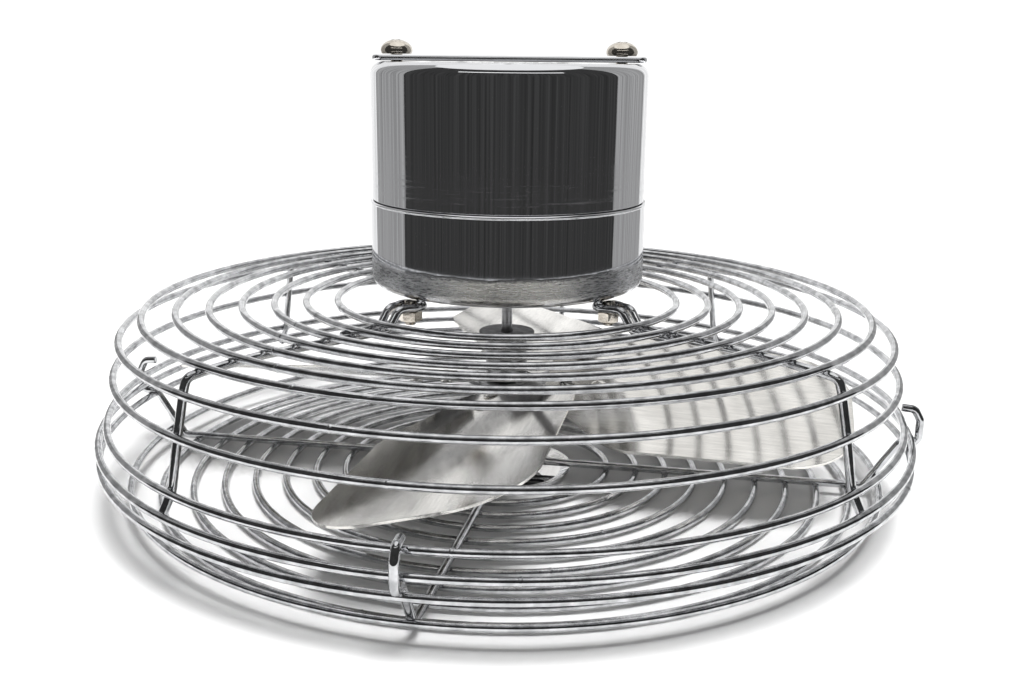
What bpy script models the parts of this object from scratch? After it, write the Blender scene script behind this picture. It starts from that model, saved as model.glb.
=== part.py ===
"""Desk fan head, lying on its front guard: wire cage, chromed motor can and four-blade wheel.

Every length below is in millimetres, and each mesh is scaled to metres as it is made.
The fan's axis is Z. Z = 0 is the plane of the badge's face, on which the fan rests.
"Radius" and "height" are measured from the axis and from that plane.
"""

import math

import bmesh
import bpy
from mathutils import Matrix, Vector

MM = 0.001

# Wire cage
RING_WIRE = 1.5
SPOKE_WIRE = 1.65
WELD_DEPTH = 0.6
RING_PHASE = 1.2
CONTACT = RING_WIRE + SPOKE_WIRE - WELD_DEPTH
REAR_FACE_HEIGHT = 79.5
REAR_FIRST_RING = 72.2
REAR_RING_PITCH = 13.05
REAR_FACE_RINGS = 7
REAR_FACE_DROP = {5: 0.4, 6: 1.4}
REAR_SIDE_RINGS = ((159.5, 70.3), (162.6, 55.9), (166.2, 37.0), (170.0, 30.0))
REAR_BEND = (155.5, 74.9)
REAR_SPOKE_ANGLES = (45.0, 135.0, 225.0, 315.0)
FRONT_RING_HEIGHT = 2.9
FRONT_OUTER_RING = (159.2, 8.9)
FRONT_SECOND_RING = 147.7
FRONT_RING_PITCH = 12.8
FRONT_INNER_RINGS = 9
FRONT_RIM_RING = (170.0, 23.4)
FRONT_SPOKE_ANGLE = -102.3
FRONT_SPOKE_START = 8.5
HOOK = (
    (153.9, 5.45), (167.0, 25.95), (174.3, 26.2), (174.3, 36.0), (171.8, 40.6), (166.8, 41.0),
)
HOOK_BEND = 3.0
BEND_RADIUS = 4.0

# Badge, its clamp disc and its screw
BADGE_FLAT = 25.0
BADGE_RADIUS = 29.5
BADGE_HEIGHT = 3.4
BADGE_SHEET = 1.3
BOSS_RADIUS = 6.5
BOSS_TOP = 6.0
PILOT_RADIUS = 2.2
PILOT_BOTTOM = 2.4
CLAMP_RADIUS = 18.0
CLAMP_THICKNESS = 1.5

# Motor
CAN_RADIUS = 56.7
FRONT_CAN_RADIUS = 57.4
CAN_TOP = 177.3
CAN_SEAM = 121.9
CAN_BOTTOM = 86.5
MOUTH_RADIUS = 40.0
LEAD_HEIGHT = 154.5
LEAD_HOLE = 4.5
CAN_WALL = 1.2
LIP = 0.3
LIP_HEIGHT = 0.8
TOP_ROUNDING = 5.0
BOTTOM_ROUNDING = 4.0
GAP = 0.3
STRAP_HALF_LENGTH = 55.5
STRAP_HALF_WIDTH = 10.0
STRAP_WAIST_HALF_WIDTH = 9.7
STRAP_WAIST_HALF_LENGTH = 36.0
STRAP_THICKNESS = 2.3
STRAP_CORNER = 4.0
STRAP_BOLT_REACH = 46.0
BOLT_HOLE = 2.8
BOLT_RADIUS = 2.4
BOLT_LENGTH = 15.0
STRAP_NUT_WIDTH = 8.0
STRAP_NUT_HEIGHT = 4.6
GUARD_NUT_WIDTH = 8.0
GUARD_NUT_HEIGHT = 4.0
STUD_RADIUS = 2.5
STUD_REACH = 55.5
EYELET_HEIGHT = 84.1
EYELET_RADIUS = 5.0
DOME_RADIUS = 48.2
DOME_LOW = 81.0
DOME_RISE = 4.0
DOME_EDGE = 8.0
DOME_SHEET = 0.8
DOME_HOLE = 4.0
SHAFT_RADIUS = 2.3
SHAFT_BORE = 2.6
SHAFT_TIP_RADIUS = 1.9
SHAFT_TOP = 171.0
SHAFT_BOTTOM = 34.5
STATOR_BOTTOM = 111.5
STATOR_TOP = 147.5
STATOR_RADIUS = 55.0
STATOR_BORE = 27.5
SLOT_RADIUS = 44.0
POLES = 8
ROTOR_RADIUS = 26.6
CORE_TOP = 148.5
CORE_BOTTOM = 110.5
WASHER_RADIUS = 6.0
FRONT_WASHER = 98.7
REAR_WASHER = 161.2
FRONT_BUSH = 88.3
REAR_BUSH = 162.5
BUSH_RADIUS = 9.0
BUSH_LENGTH = 10.0
FRONT_BRACKET_RADIUS = 45.0
REAR_BRACKET_RADIUS = 34.0
BRACKET_SHEET = 1.2
BRACKET_DEPTH = 9.0

# Blade wheel
BLADE_ANGLE = -104.5
BLADES = 4
BLADE_ROOT = 18.0
BLADE_SHOULDER = 58.0
BLADE_TIP = 147.0
BLADE_LOW_SIDE = -40.0
BLADE_HIGH_SIDE = 40.0
BLADE_ROOT_HALF = 16.0
BLADE_CORNER = 28.0
BLADE_THICKNESS = 1.1
ROOT_HEIGHT = 43.0
TIP_HEIGHT = 37.7
ROOT_SLOPE = 0.37
TIP_SLOPE = 0.27
ARM_START = 9.5
ARM_ROOT_HALF = 8.5
ARM_HALF = 9.0
ARM_TAPER_START = 44.0
ARM_TAPER_HALF = 8.0
ARM_END = 48.0
ARM_END_HALF = 4.0
ARM_THICKNESS = 1.8
RIVET_REACHES = (27.0, 41.0)
RIVET_HOLE = 2.1
HUB_RADIUS = 9.0
HUB_TOP = 63.1
HUB_CHAMFER = 0.8
HUB_RIM = 1.2
SET_SCREW_RADIUS = 2.0
SPIDER_RADIUS = 13.0
SPIDER_TOP = 42.9
SPIDER_BOTTOM = 40.1
SPIDER_BORE = 5.5
NECK_RADIUS = 5.1
SET_SCREW_HEIGHT = 52.5
SET_SCREW_ANGLE = 30.0
SLINGER_RADIUS = 12.0
SLINGER_TOP = 64.6
SLINGER_BOTTOM = 63.4

MANY = 32
SOME = 20
FEW = 10


def clear_scene():
    for obj in list(bpy.data.objects):
        bpy.data.objects.remove(obj, do_unlink=True)


def make_material(name, colour, metallic, roughness):
    material = bpy.data.materials.new(name)
    material.use_nodes = True
    shader = material.node_tree.nodes["Principled BSDF"]
    shader.inputs["Base Color"].default_value = (*colour, 1.0)
    shader.inputs["Metallic"].default_value = metallic
    shader.inputs["Roughness"].default_value = roughness
    material.diffuse_color = (*colour, 1.0)
    return material


def place(name, mesh, looks, at=(0.0, 0.0, 0.0), turn=(0.0, 0.0, 0.0), parent=None):
    """Adds the mesh as a named piece. The place is in millimetres and the turn in degrees."""
    obj = bpy.data.objects.new(name, mesh)
    bpy.context.scene.collection.objects.link(obj)
    obj.location = Vector(at) * MM
    obj.rotation_euler = [math.radians(angle) for angle in turn]
    obj.parent = parent
    material = make_material(name, *looks)
    obj.data.materials.clear()
    obj.data.materials.append(material)
    return obj


def mesh_from(bm, name):
    """Closes the work on a bmesh: metres, faces outwards, and smooth except at sharp edges."""
    bmesh.ops.recalc_face_normals(bm, faces=bm.faces)
    bmesh.ops.scale(bm, vec=(MM, MM, MM), verts=bm.verts)
    mesh = bpy.data.meshes.new(name)
    bm.to_mesh(mesh)
    bm.free()
    mesh.shade_smooth()
    mesh.set_sharp_from_angle(angle=math.radians(35))
    return mesh


def turned(name, profile, steps, phase=0.0):
    """A solid of revolution from a closed outline of (radius, height) points."""
    bm = bmesh.new()
    angles = [math.radians(phase) + 2 * math.pi * i / steps for i in range(steps)]
    rings = []
    for radius, height in profile:
        if radius == 0:
            rings.append([bm.verts.new((0, 0, height))])
            continue
        rings.append([bm.verts.new((radius * math.cos(a), radius * math.sin(a), height)) for a in angles])
    for first, second in zip(rings, rings[1:] + rings[:1]):
        for i in range(steps):
            j = (i + 1) % steps
            corners = [
                first[i % len(first)],
                first[j % len(first)],
                second[j % len(second)],
                second[i % len(second)],
            ]
            corners = list(dict.fromkeys(corners))
            if len(corners) > 2:
                bm.faces.new(corners)
    return mesh_from(bm, name)


def prism(name, outline, low, high):
    """A flat outline of (x, y) points raised from one height to another."""
    bm = bmesh.new()
    face = bm.faces.new([bm.verts.new((x, y, low)) for x, y in outline])
    raised = bmesh.ops.extrude_face_region(bm, geom=[face])
    top = [item for item in raised["geom"] if isinstance(item, bmesh.types.BMVert)]
    bmesh.ops.translate(bm, vec=(0, 0, high - low), verts=top)
    return mesh_from(bm, name)


def arc(centre, radius, start, end, steps):
    """Points on an arc from one angle to another, in degrees, in the (radius, height) plane."""
    points = []
    for i in range(steps + 1):
        angle = math.radians(start + (end - start) * i / steps)
        points.append((centre[0] + radius * math.cos(angle), centre[1] + radius * math.sin(angle)))
    return points


def rounded_path(corners, bend, steps):
    """The corners joined by straight runs, with each bend turned on an arc that fits its runs."""
    path = [corners[0]]
    for before, corner, after in zip(corners, corners[1:], corners[2:]):
        back = before - corner
        ahead = after - corner
        half = back.angle(ahead) / 2
        if half > math.radians(80):
            path.append(corner)
            continue
        room = 0.45 * min(back.length, ahead.length)
        reach = min(bend / math.tan(half), room)
        radius = reach * math.tan(half)
        centre = corner + (back.normalized() + ahead.normalized()).normalized() * (radius / math.sin(half))
        start = (corner + back.normalized() * reach - centre).normalized()
        end = (corner + ahead.normalized() * reach - centre).normalized()
        for i in range(steps + 1):
            path.append(centre + start.slerp(end, i / steps) * radius)
    path.append(corners[-1])
    return path


def add_wire(bm, path, radius, sides=6):
    """Sweeps a round wire along the path with closed ends, without twisting its section."""
    directions = [(b - a).normalized() for a, b in zip(path, path[1:])]
    tangents = [directions[0]]
    for before, after in zip(directions, directions[1:]):
        tangents.append((before + after).normalized())
    tangents.append(directions[-1])
    across = Vector((0, 0, 1)).cross(tangents[0])
    if across.length < 0.1:
        across = Vector((1, 0, 0)).cross(tangents[0])
    across.normalize()
    sections = []
    previous = tangents[0]
    for point, tangent in zip(path, tangents):
        across = previous.rotation_difference(tangent) @ across
        previous = tangent
        up = tangent.cross(across)
        section = []
        for i in range(sides):
            angle = 2 * math.pi * (i + 0.5) / sides
            offset = across * (radius * math.cos(angle)) + up * (radius * math.sin(angle))
            section.append(bm.verts.new(point + offset))
        sections.append(section)
    for first, second in zip(sections, sections[1:]):
        for i in range(sides):
            j = (i + 1) % sides
            bm.faces.new((first[i], first[j], second[j], second[i]))
    bm.faces.new(sections[0])
    bm.faces.new(sections[-1])


def add_ring(bm, radius, height, phase, weld, sides=5):
    """A closed wire ring about the axis. It has corners at the phase angle and on its welded side.

    The phase keeps each corner of the ring a little past a spoke, clear of the spoke's own edges.
    """
    steps = 20 if radius < 100 else 28
    sections = []
    for i in range(steps):
        around = math.radians(phase) + 2 * math.pi * i / steps
        section = []
        for j in range(sides):
            angle = math.radians(weld) + 2 * math.pi * j / sides
            reach = radius + RING_WIRE * math.cos(angle)
            lift = height + RING_WIRE * math.sin(angle)
            section.append(bm.verts.new((reach * math.cos(around), reach * math.sin(around), lift)))
        sections.append(section)
    for i, first in enumerate(sections):
        second = sections[(i + 1) % steps]
        for j in range(sides):
            k = (j + 1) % sides
            bm.faces.new((first[j], first[k], second[k], second[j]))


def cutter(name, mesh, at=(0.0, 0.0, 0.0), turn=(0.0, 0.0, 0.0)):
    obj = bpy.data.objects.new(name, mesh)
    bpy.context.scene.collection.objects.link(obj)
    obj.location = Vector(at) * MM
    obj.rotation_euler = [math.radians(angle) for angle in turn]
    obj.hide_render = True
    obj.display_type = "WIRE"
    return obj


def combined(mesh, others, operation):
    """The mesh after a Boolean with each of the helper objects, which are then removed."""
    work = bpy.data.objects.new("work", mesh)
    bpy.context.scene.collection.objects.link(work)
    for other in others:
        step = work.modifiers.new(other.name, "BOOLEAN")
        step.operation = operation
        step.solver = "EXACT"
        step.object = other
    bpy.context.view_layer.update()
    graph = bpy.context.evaluated_depsgraph_get()
    result = bpy.data.meshes.new_from_object(work.evaluated_get(graph))
    for obj in [work, *others]:
        bpy.data.objects.remove(obj, do_unlink=True)
    result.shade_smooth()
    result.set_sharp_from_angle(angle=math.radians(35))
    return result


def drill(radius, low, high, at, turn=(0.0, 0.0, 0.0)):
    """A round cutter along its own Z."""
    mesh = turned("drill", [(0, high), (radius, high), (radius, low), (0, low)], FEW, 7.0)
    return cutter("drill", mesh, at, turn)


def hex_outline(across_flats, phase=0.0):
    reach = across_flats / math.sqrt(3)
    turns = [math.radians(phase + 60 * i) for i in range(6)]
    return [(reach * math.cos(a), reach * math.sin(a)) for a in turns]


def around(radius, angle, height):
    return (radius * math.cos(math.radians(angle)), radius * math.sin(math.radians(angle)), height)


# Colours, metallic values and roughness of the finishes
CHROME = ((0.62, 0.63, 0.65), 1.0, 0.08)
CHROMED_WIRE = ((0.55, 0.56, 0.58), 1.0, 0.18)
NICKEL = ((0.60, 0.54, 0.45), 1.0, 0.25)
ALUMINIUM = ((0.70, 0.70, 0.70), 1.0, 0.35)
STEEL = ((0.42, 0.42, 0.43), 1.0, 0.35)
DARK_STEEL = ((0.12, 0.12, 0.12), 0.8, 0.5)
BRONZE = ((0.50, 0.33, 0.15), 1.0, 0.4)
COPPER = ((0.55, 0.22, 0.10), 0.9, 0.4)
RUBBER = ((0.02, 0.02, 0.02), 0.0, 0.7)


def rear_rings():
    """(radius, height) of each ring of the rear guard, from the motor outwards and down the side."""
    rings = []
    for i in range(REAR_FACE_RINGS):
        drop = REAR_FACE_DROP.get(i, 0.0)
        rings.append((REAR_FIRST_RING + REAR_RING_PITCH * i, REAR_FACE_HEIGHT - drop))
    return rings + list(REAR_SIDE_RINGS)


def rear_spoke_path():
    """One rear spoke along +X, from its foot: the long run, an eyelet round the stud, and a short tail."""
    level = REAR_FACE_HEIGHT - CONTACT
    tail = [
        Vector((REAR_FIRST_RING + REAR_RING_PITCH + 2.5, -2.75, level)),
        Vector((69.5, -2.75, level)),
        Vector((64.3, -2.9, EYELET_HEIGHT)),
        Vector((60.0, -3.6, EYELET_HEIGHT)),
    ]
    path = rounded_path(tail, BEND_RADIUS, 2)
    for i in range(7):
        angle = math.radians(-62 - 236 * i / 6)
        x = STUD_REACH + EYELET_RADIUS * math.cos(angle)
        path.append(Vector((x, EYELET_RADIUS * math.sin(angle), EYELET_HEIGHT)))
    run = [
        Vector((60.0, 3.6, EYELET_HEIGHT)), Vector((64.3, 2.9, EYELET_HEIGHT)), Vector((69.5, 2.75, level)),
    ]
    face = rear_rings()[:REAR_FACE_RINGS]
    for radius, height in face[4:]:
        run.append(Vector((radius, 0.0, height - CONTACT)))
    run.append(Vector((REAR_BEND[0], 0.0, REAR_BEND[1])))
    for radius, height in REAR_SIDE_RINGS:
        run.append(Vector((radius - CONTACT, 0.0, height)))
    last = run[-1] + (run[-1] - run[-2]).normalized() * 2.0
    path += rounded_path(run + [last], BEND_RADIUS, 2)
    return path[::-1]


def rear_guard():
    bm = bmesh.new()
    for i, (radius, height) in enumerate(rear_rings()):
        weld = -90 if i < REAR_FACE_RINGS else 180
        add_ring(bm, radius, height, REAR_SPOKE_ANGLES[0] + RING_PHASE, weld)
    rings = mesh_from(bm, "rear_guard")
    bm = bmesh.new()
    for angle in REAR_SPOKE_ANGLES:
        turn = Matrix.Rotation(math.radians(angle), 3, "Z")
        add_wire(bm, [turn @ point for point in rear_spoke_path()], SPOKE_WIRE)
    spokes = cutter("rear_spokes", mesh_from(bm, "rear_spokes"))
    place("rear_guard", combined(rings, [spokes], "UNION"), CHROMED_WIRE)


def front_guard():
    bm = bmesh.new()
    phase = FRONT_SPOKE_ANGLE + RING_PHASE
    add_ring(bm, *FRONT_OUTER_RING, phase, 150)
    for i in range(FRONT_INNER_RINGS):
        add_ring(bm, FRONT_SECOND_RING - FRONT_RING_PITCH * i, FRONT_RING_HEIGHT, phase, 90)
    add_ring(bm, *FRONT_RIM_RING, phase, 90)
    rings = mesh_from(bm, "front_guard")
    bm = bmesh.new()
    start = Vector((FRONT_SPOKE_START, 0.0, FRONT_RING_HEIGHT + CONTACT))
    corners = [start] + [Vector((radius, 0.0, height)) for radius, height in HOOK]
    path = rounded_path(corners, HOOK_BEND, 2)
    for i in range(4):
        turn = Matrix.Rotation(math.radians(FRONT_SPOKE_ANGLE + 90 * i), 3, "Z")
        add_wire(bm, [turn @ point for point in path], SPOKE_WIRE)
    spokes = cutter("front_spokes", mesh_from(bm, "front_spokes"))
    place("front_guard", combined(rings, [spokes], "UNION"), CHROMED_WIRE)


def badge():
    """The plain centre plate on which the fan rests, a clamp disc above the spokes, and its screw."""
    dish = [
        (PILOT_RADIUS, BOSS_TOP), (PILOT_RADIUS, PILOT_BOTTOM), (0, PILOT_BOTTOM), (0, 0), (BADGE_FLAT, 0),
        (BADGE_RADIUS - 0.9, 0.9), (BADGE_RADIUS, BADGE_HEIGHT), (BADGE_RADIUS - 1.2, BADGE_HEIGHT),
        (BADGE_FLAT - 0.4, BADGE_SHEET), (BOSS_RADIUS, BADGE_SHEET), (BOSS_RADIUS, BOSS_TOP),
    ]
    place("badge", turned("badge", dish, SOME), CHROME)
    low = FRONT_RING_HEIGHT + CONTACT + SPOKE_WIRE + GAP
    high = low + CLAMP_THICKNESS
    clamp = [(PILOT_RADIUS, low), (CLAMP_RADIUS, low), (CLAMP_RADIUS, high), (PILOT_RADIUS, high)]
    place("badge_clamp", turned("badge_clamp", clamp, SOME), STEEL)
    head = high + GAP
    shank = PILOT_RADIUS - 0.4
    tip = PILOT_BOTTOM + 0.5
    screw = [(0, head + 2.0), (2.6, head + 1.6), (3.6, head), (shank, head), (shank, tip), (0, tip)]
    place("badge_screw", turned("badge_screw", screw, FEW), NICKEL)


def front_shell():
    inner = FRONT_CAN_RADIUS - CAN_WALL
    centre = (FRONT_CAN_RADIUS - BOTTOM_ROUNDING, CAN_BOTTOM + BOTTOM_ROUNDING)
    outside = arc(centre, BOTTOM_ROUNDING, 0, -90, 3)
    inside = arc(centre, BOTTOM_ROUNDING - CAN_WALL, -90, 0, 2)
    profile = [
        (inner, CAN_SEAM),
        (FRONT_CAN_RADIUS + LIP, CAN_SEAM),
        (FRONT_CAN_RADIUS + LIP, CAN_SEAM - LIP_HEIGHT),
        (FRONT_CAN_RADIUS, CAN_SEAM - LIP_HEIGHT - 0.3),
    ]
    profile += outside + [(MOUTH_RADIUS, CAN_BOTTOM), (MOUTH_RADIUS, CAN_BOTTOM + CAN_WALL)] + inside
    place("front_shell", turned("front_shell", profile, MANY), CHROME)


def rear_shell():
    inner = CAN_RADIUS - CAN_WALL
    centre = (CAN_RADIUS - TOP_ROUNDING, CAN_TOP - TOP_ROUNDING)
    low = CAN_SEAM + GAP
    profile = [(0, CAN_TOP)] + arc(centre, TOP_ROUNDING, 90, 0, 3) + [(CAN_RADIUS, low), (inner, low)]
    profile += arc(centre, TOP_ROUNDING - CAN_WALL, 0, 90, 2) + [(0, CAN_TOP - CAN_WALL)]
    mesh = turned("rear_shell", profile, MANY)
    holes = [drill(BOLT_HOLE, CAN_TOP - 4, CAN_TOP + 4, (side * STRAP_BOLT_REACH, 0, 0)) for side in (-1, 1)]
    holes.append(drill(LEAD_HOLE, -5, 5, (0, CAN_RADIUS - 1, LEAD_HEIGHT), (-90, 0, 0)))
    place("rear_shell", combined(mesh, holes, "DIFFERENCE"), CHROME)
    grommet = [
        (2.2, 3.1), (5.4, 3.1), (6.5, 2.4), (6.5, 1.2), (4.1, 1.2), (4.1, -1.1), (5.3, -1.1),
        (5.3, -2.6), (2.2, -2.6),
    ]
    at = (0, CAN_RADIUS - 0.7, LEAD_HEIGHT)
    place("lead_grommet", turned("lead_grommet", grommet, FEW), RUBBER, at, (-90, 0, 0))


def end_plate():
    """The shallow dome that closes the motor towards the blades."""
    rim = DOME_RADIUS - DOME_EDGE
    low = []
    for i in range(4):
        radius = DOME_HOLE + (rim - DOME_HOLE) * i / 3
        low.append((radius, DOME_LOW + DOME_RISE * (radius / rim) ** 2))
    low.append((DOME_RADIUS, DOME_LOW + DOME_RISE + 0.4))
    high = [(radius, height + DOME_SHEET) for radius, height in reversed(low)]
    place("end_plate", turned("end_plate", low + high, MANY), CHROME)


def strap():
    """The flat bar across the top of the motor that carries the fan, and its two bolts and nuts.

    The bar is slightly waisted. The flat between its screw heads is a face of its own.
    """
    low = CAN_TOP + GAP
    corner = STRAP_CORNER
    waist = STRAP_WAIST_HALF_LENGTH
    bm = bmesh.new()
    layers = []
    for height in (low, low + STRAP_THICKNESS):
        ends = []
        for side in (1, -1):
            neck = ((waist, STRAP_WAIST_HALF_WIDTH), (waist + 3, STRAP_HALF_WIDTH))
            end = [(side * x, -side * y) for x, y in neck]
            for side_y, start in ((-side, -90), (side, 0)):
                centre = (side * (STRAP_HALF_LENGTH - corner), side_y * (STRAP_HALF_WIDTH - corner))
                turn = 0 if side > 0 else 180
                end += arc(centre, corner, start + turn, start + turn + 90, 3)
            end += [(side * x, side * y) for x, y in reversed(neck)]
            ends.append([bm.verts.new((x, y, height)) for x, y in end])
        right, left = ends
        bm.faces.new(right)
        bm.faces.new(left)
        bm.faces.new((right[-1], left[0], left[-1], right[0]))
        layers.append(right + left)
    lower, upper = layers
    for i in range(len(lower)):
        j = (i + 1) % len(lower)
        bm.faces.new((lower[i], lower[j], upper[j], upper[i]))
    mesh = mesh_from(bm, "mounting_strap")
    holes = [drill(BOLT_HOLE, low - 2, low + 8, (side * STRAP_BOLT_REACH, 0, 0)) for side in (-1, 1)]
    place("mounting_strap", combined(mesh, holes, "DIFFERENCE"), CHROME)
    seat = low + STRAP_THICKNESS + GAP
    head = [(0, 5.7), (3.2, 5.2), (5.6, 3.4), (6.5, 1.2), (6.0, 0.0)]
    shank = [(BOLT_RADIUS, 0.0), (BOLT_RADIUS, -BOLT_LENGTH), (0, -BOLT_LENGTH)]
    recess = []
    for turn in (0, 90):
        slot = [(-2.3, -0.45), (2.3, -0.45), (2.3, 0.45), (-2.3, 0.45)]
        bar = prism("recess", slot, 3.9 - turn * 0.001, 7.0)
        recess.append(cutter("recess", bar, (0, 0, 0), (0, 0, 40 + turn)))
    bolt = combined(turned("strap_bolt", head + shank, SOME), recess, "DIFFERENCE")
    nut_top = CAN_TOP - CAN_WALL - GAP
    nut_low = nut_top - STRAP_NUT_HEIGHT
    nut = prism("strap_nut", hex_outline(STRAP_NUT_WIDTH), nut_low, nut_top)
    nut = combined(nut, [drill(BOLT_RADIUS + GAP, nut_low - 2, nut_top + 4, (0, 0, 0))], "DIFFERENCE")
    for name, side in (("left", -1), ("right", 1)):
        place("strap_bolt_" + name, bolt.copy(), NICKEL, (side * STRAP_BOLT_REACH, 0, seat))
        place("strap_nut_" + name, nut.copy(), NICKEL, (side * STRAP_BOLT_REACH, 0, 0))


def guard_fixings():
    """Four studs welded under the motor's rim, each with a nut that clamps a spoke's eyelet."""
    nut_top = EYELET_HEIGHT - SPOKE_WIRE - GAP
    nut_low = nut_top - GUARD_NUT_HEIGHT
    top = CAN_BOTTOM - GAP
    stud = [(0, top), (STUD_RADIUS, top), (STUD_RADIUS, nut_low - 1.0), (STUD_RADIUS - 0.5, nut_low - 1.6)]
    stud = turned("guard_stud", stud + [(0, nut_low - 1.6)], FEW)
    nut = prism("guard_nut", hex_outline(GUARD_NUT_WIDTH, 8.0), nut_low, nut_top)
    nut = combined(nut, [drill(STUD_RADIUS + 0.4, nut_low - 2, nut_top + 2, (0, 0, 0))], "DIFFERENCE")
    names = ("back_right", "back_left", "front_left", "front_right")
    for name, angle in zip(names, REAR_SPOKE_ANGLES):
        place("guard_stud_" + name, stud.copy(), NICKEL, around(STUD_REACH, angle, 0), (0, 0, angle))
        place("guard_nut_" + name, nut.copy(), NICKEL, around(STUD_REACH, angle, 0), (0, 0, angle))


def stator():
    """Laminated core with open slots, and the end turns of its winding above and below."""
    bm = bmesh.new()
    inner = []
    outer = []
    tooth_and_slot = (
        (-14, STATOR_BORE), (0, STATOR_BORE), (14, STATOR_BORE), (16, SLOT_RADIUS), (29, SLOT_RADIUS),
    )
    for pole in range(POLES):
        middle = 360 * pole / POLES
        for offset, radius in tooth_and_slot:
            inner.append(around(radius, middle + offset, STATOR_BOTTOM))
            outer.append(around(STATOR_RADIUS, middle + offset, STATOR_BOTTOM))
    low_in = [bm.verts.new(point) for point in inner]
    low_out = [bm.verts.new(point) for point in outer]
    high_in = [bm.verts.new((x, y, STATOR_TOP)) for x, y, _ in inner]
    high_out = [bm.verts.new((x, y, STATOR_TOP)) for x, y, _ in outer]
    count = len(inner)
    for i in range(count):
        j = (i + 1) % count
        bm.faces.new((low_in[i], low_in[j], low_out[j], low_out[i]))
        bm.faces.new((high_in[i], high_in[j], high_out[j], high_out[i]))
        bm.faces.new((low_in[i], low_in[j], high_in[j], high_in[i]))
        bm.faces.new((low_out[i], low_out[j], high_out[j], high_out[i]))
    place("stator_core", mesh_from(bm, "stator_core"), DARK_STEEL)
    turns = [(31.0, 0.0), (31.0, 8.0), (34.0, 11.0), (43.0, 11.0), (46.0, 8.0), (46.0, 0.0)]
    rear = [(radius, STATOR_TOP + GAP + height) for radius, height in turns]
    front = [(radius, STATOR_BOTTOM - GAP - height) for radius, height in turns]
    place("winding_rear", turned("winding_rear", rear, SOME), COPPER)
    place("winding_front", turned("winding_front", front, SOME), COPPER)


def bearings():
    """A bush at each end in its own drawn bracket."""
    bush = [(SHAFT_BORE, 0.0), (BUSH_RADIUS, 0.0), (BUSH_RADIUS, BUSH_LENGTH), (SHAFT_BORE, BUSH_LENGTH)]
    place("front_bush", turned("front_bush", bush, SOME), BRONZE, (0, 0, FRONT_BUSH))
    place("rear_bush", turned("rear_bush", bush, SOME), BRONZE, (0, 0, REAR_BUSH))
    seats = (
        ("front_bracket", FRONT_BRACKET_RADIUS, CAN_BOTTOM + CAN_WALL + GAP, 1),
        ("rear_bracket", REAR_BRACKET_RADIUS, CAN_TOP - CAN_WALL - GAP, -1),
    )
    hole = BUSH_RADIUS + 0.5
    neck = hole + BRACKET_SHEET
    for name, radius, base, up in seats:
        sheet_top = base + up * BRACKET_SHEET
        cup_top = base + up * BRACKET_DEPTH
        profile = [
            (radius, base), (radius, sheet_top), (neck, sheet_top), (neck, cup_top), (hole, cup_top),
            (hole, base),
        ]
        place(name, turned(name, profile, SOME), STEEL)


def blade_height(reach):
    share = (reach - BLADE_ROOT) / (BLADE_TIP - BLADE_ROOT)
    return ROOT_HEIGHT + (TIP_HEIGHT - ROOT_HEIGHT) * share


def blade_slope(reach):
    share = (reach - BLADE_ROOT) / (BLADE_TIP - BLADE_ROOT)
    return ROOT_SLOPE + (TIP_SLOPE - ROOT_SLOPE) * share


def blade_sides(reach):
    """How far the blade runs to each side of its centre line at this reach from the axis."""
    flare = min(1.0, (reach - BLADE_ROOT) / (BLADE_SHOULDER - BLADE_ROOT))
    flare = flare * flare * (3 - 2 * flare)
    low = -BLADE_ROOT_HALF + (BLADE_LOW_SIDE + BLADE_ROOT_HALF) * flare
    high = BLADE_ROOT_HALF + (BLADE_HIGH_SIDE - BLADE_ROOT_HALF) * flare
    past = max(0.0, reach - (BLADE_TIP - BLADE_CORNER)) / BLADE_CORNER
    trim = BLADE_CORNER * (1 - math.sqrt(max(0.0, 1 - past * past)))
    return low + trim, high - trim


def sheet(name, rows, thickness):
    """A thin solid between two copies of a grid of points, one above the other."""
    bm = bmesh.new()
    layers = []
    for lift in (-thickness / 2, thickness / 2):
        layers.append([[bm.verts.new((x, y, z + lift)) for x, y, z in row] for row in rows])
    length = len(rows)
    width = len(rows[0])
    for layer in layers:
        for i in range(length - 1):
            for j in range(width - 1):
                bm.faces.new((layer[i][j], layer[i + 1][j], layer[i + 1][j + 1], layer[i][j + 1]))
    edge = [(i, 0) for i in range(length)] + [(length - 1, j) for j in range(1, width)]
    edge += [(i, width - 1) for i in range(length - 2, -1, -1)] + [(0, j) for j in range(width - 2, 0, -1)]
    low, high = layers
    for (i, j), (k, m) in zip(edge, edge[1:] + edge[:1]):
        bm.faces.new((low[i][j], low[k][m], high[k][m], high[i][j]))
    return mesh_from(bm, name)


def blade_mesh():
    reaches = [BLADE_ROOT + (BLADE_SHOULDER - BLADE_ROOT) * i / 4 for i in range(5)] + [88.0]
    reaches += [BLADE_TIP - BLADE_CORNER * (1 - math.sin(math.radians(18 * i))) for i in range(6)]
    rows = []
    for reach in reaches:
        low, high = blade_sides(reach)
        row = []
        for j in range(4):
            side = low + (high - low) * j / 3
            row.append((reach, side, blade_height(reach) + blade_slope(reach) * side))
        rows.append(row)
    mesh = sheet("blade", rows, BLADE_THICKNESS)
    return combined(mesh, [rivet_drill(reach) for reach in RIVET_REACHES], "DIFFERENCE")


def rivet_frame(reach):
    """A frame on the blade's centre line with its Z square to the sheet."""
    fall = (TIP_HEIGHT - ROOT_HEIGHT) / (BLADE_TIP - BLADE_ROOT)
    normal = Vector((-fall, -blade_slope(reach), 1.0)).normalized()
    turn = Vector((0, 0, 1)).rotation_difference(normal).to_matrix().to_4x4()
    return Matrix.Translation(Vector((reach, 0, blade_height(reach))) * MM) @ turn


def rivet_drill(reach, angle=0.0):
    tool = drill(RIVET_HOLE, -8, 8, (0, 0, 0))
    tool.matrix_world = Matrix.Rotation(math.radians(angle), 4, "Z") @ rivet_frame(reach)
    return tool


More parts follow.
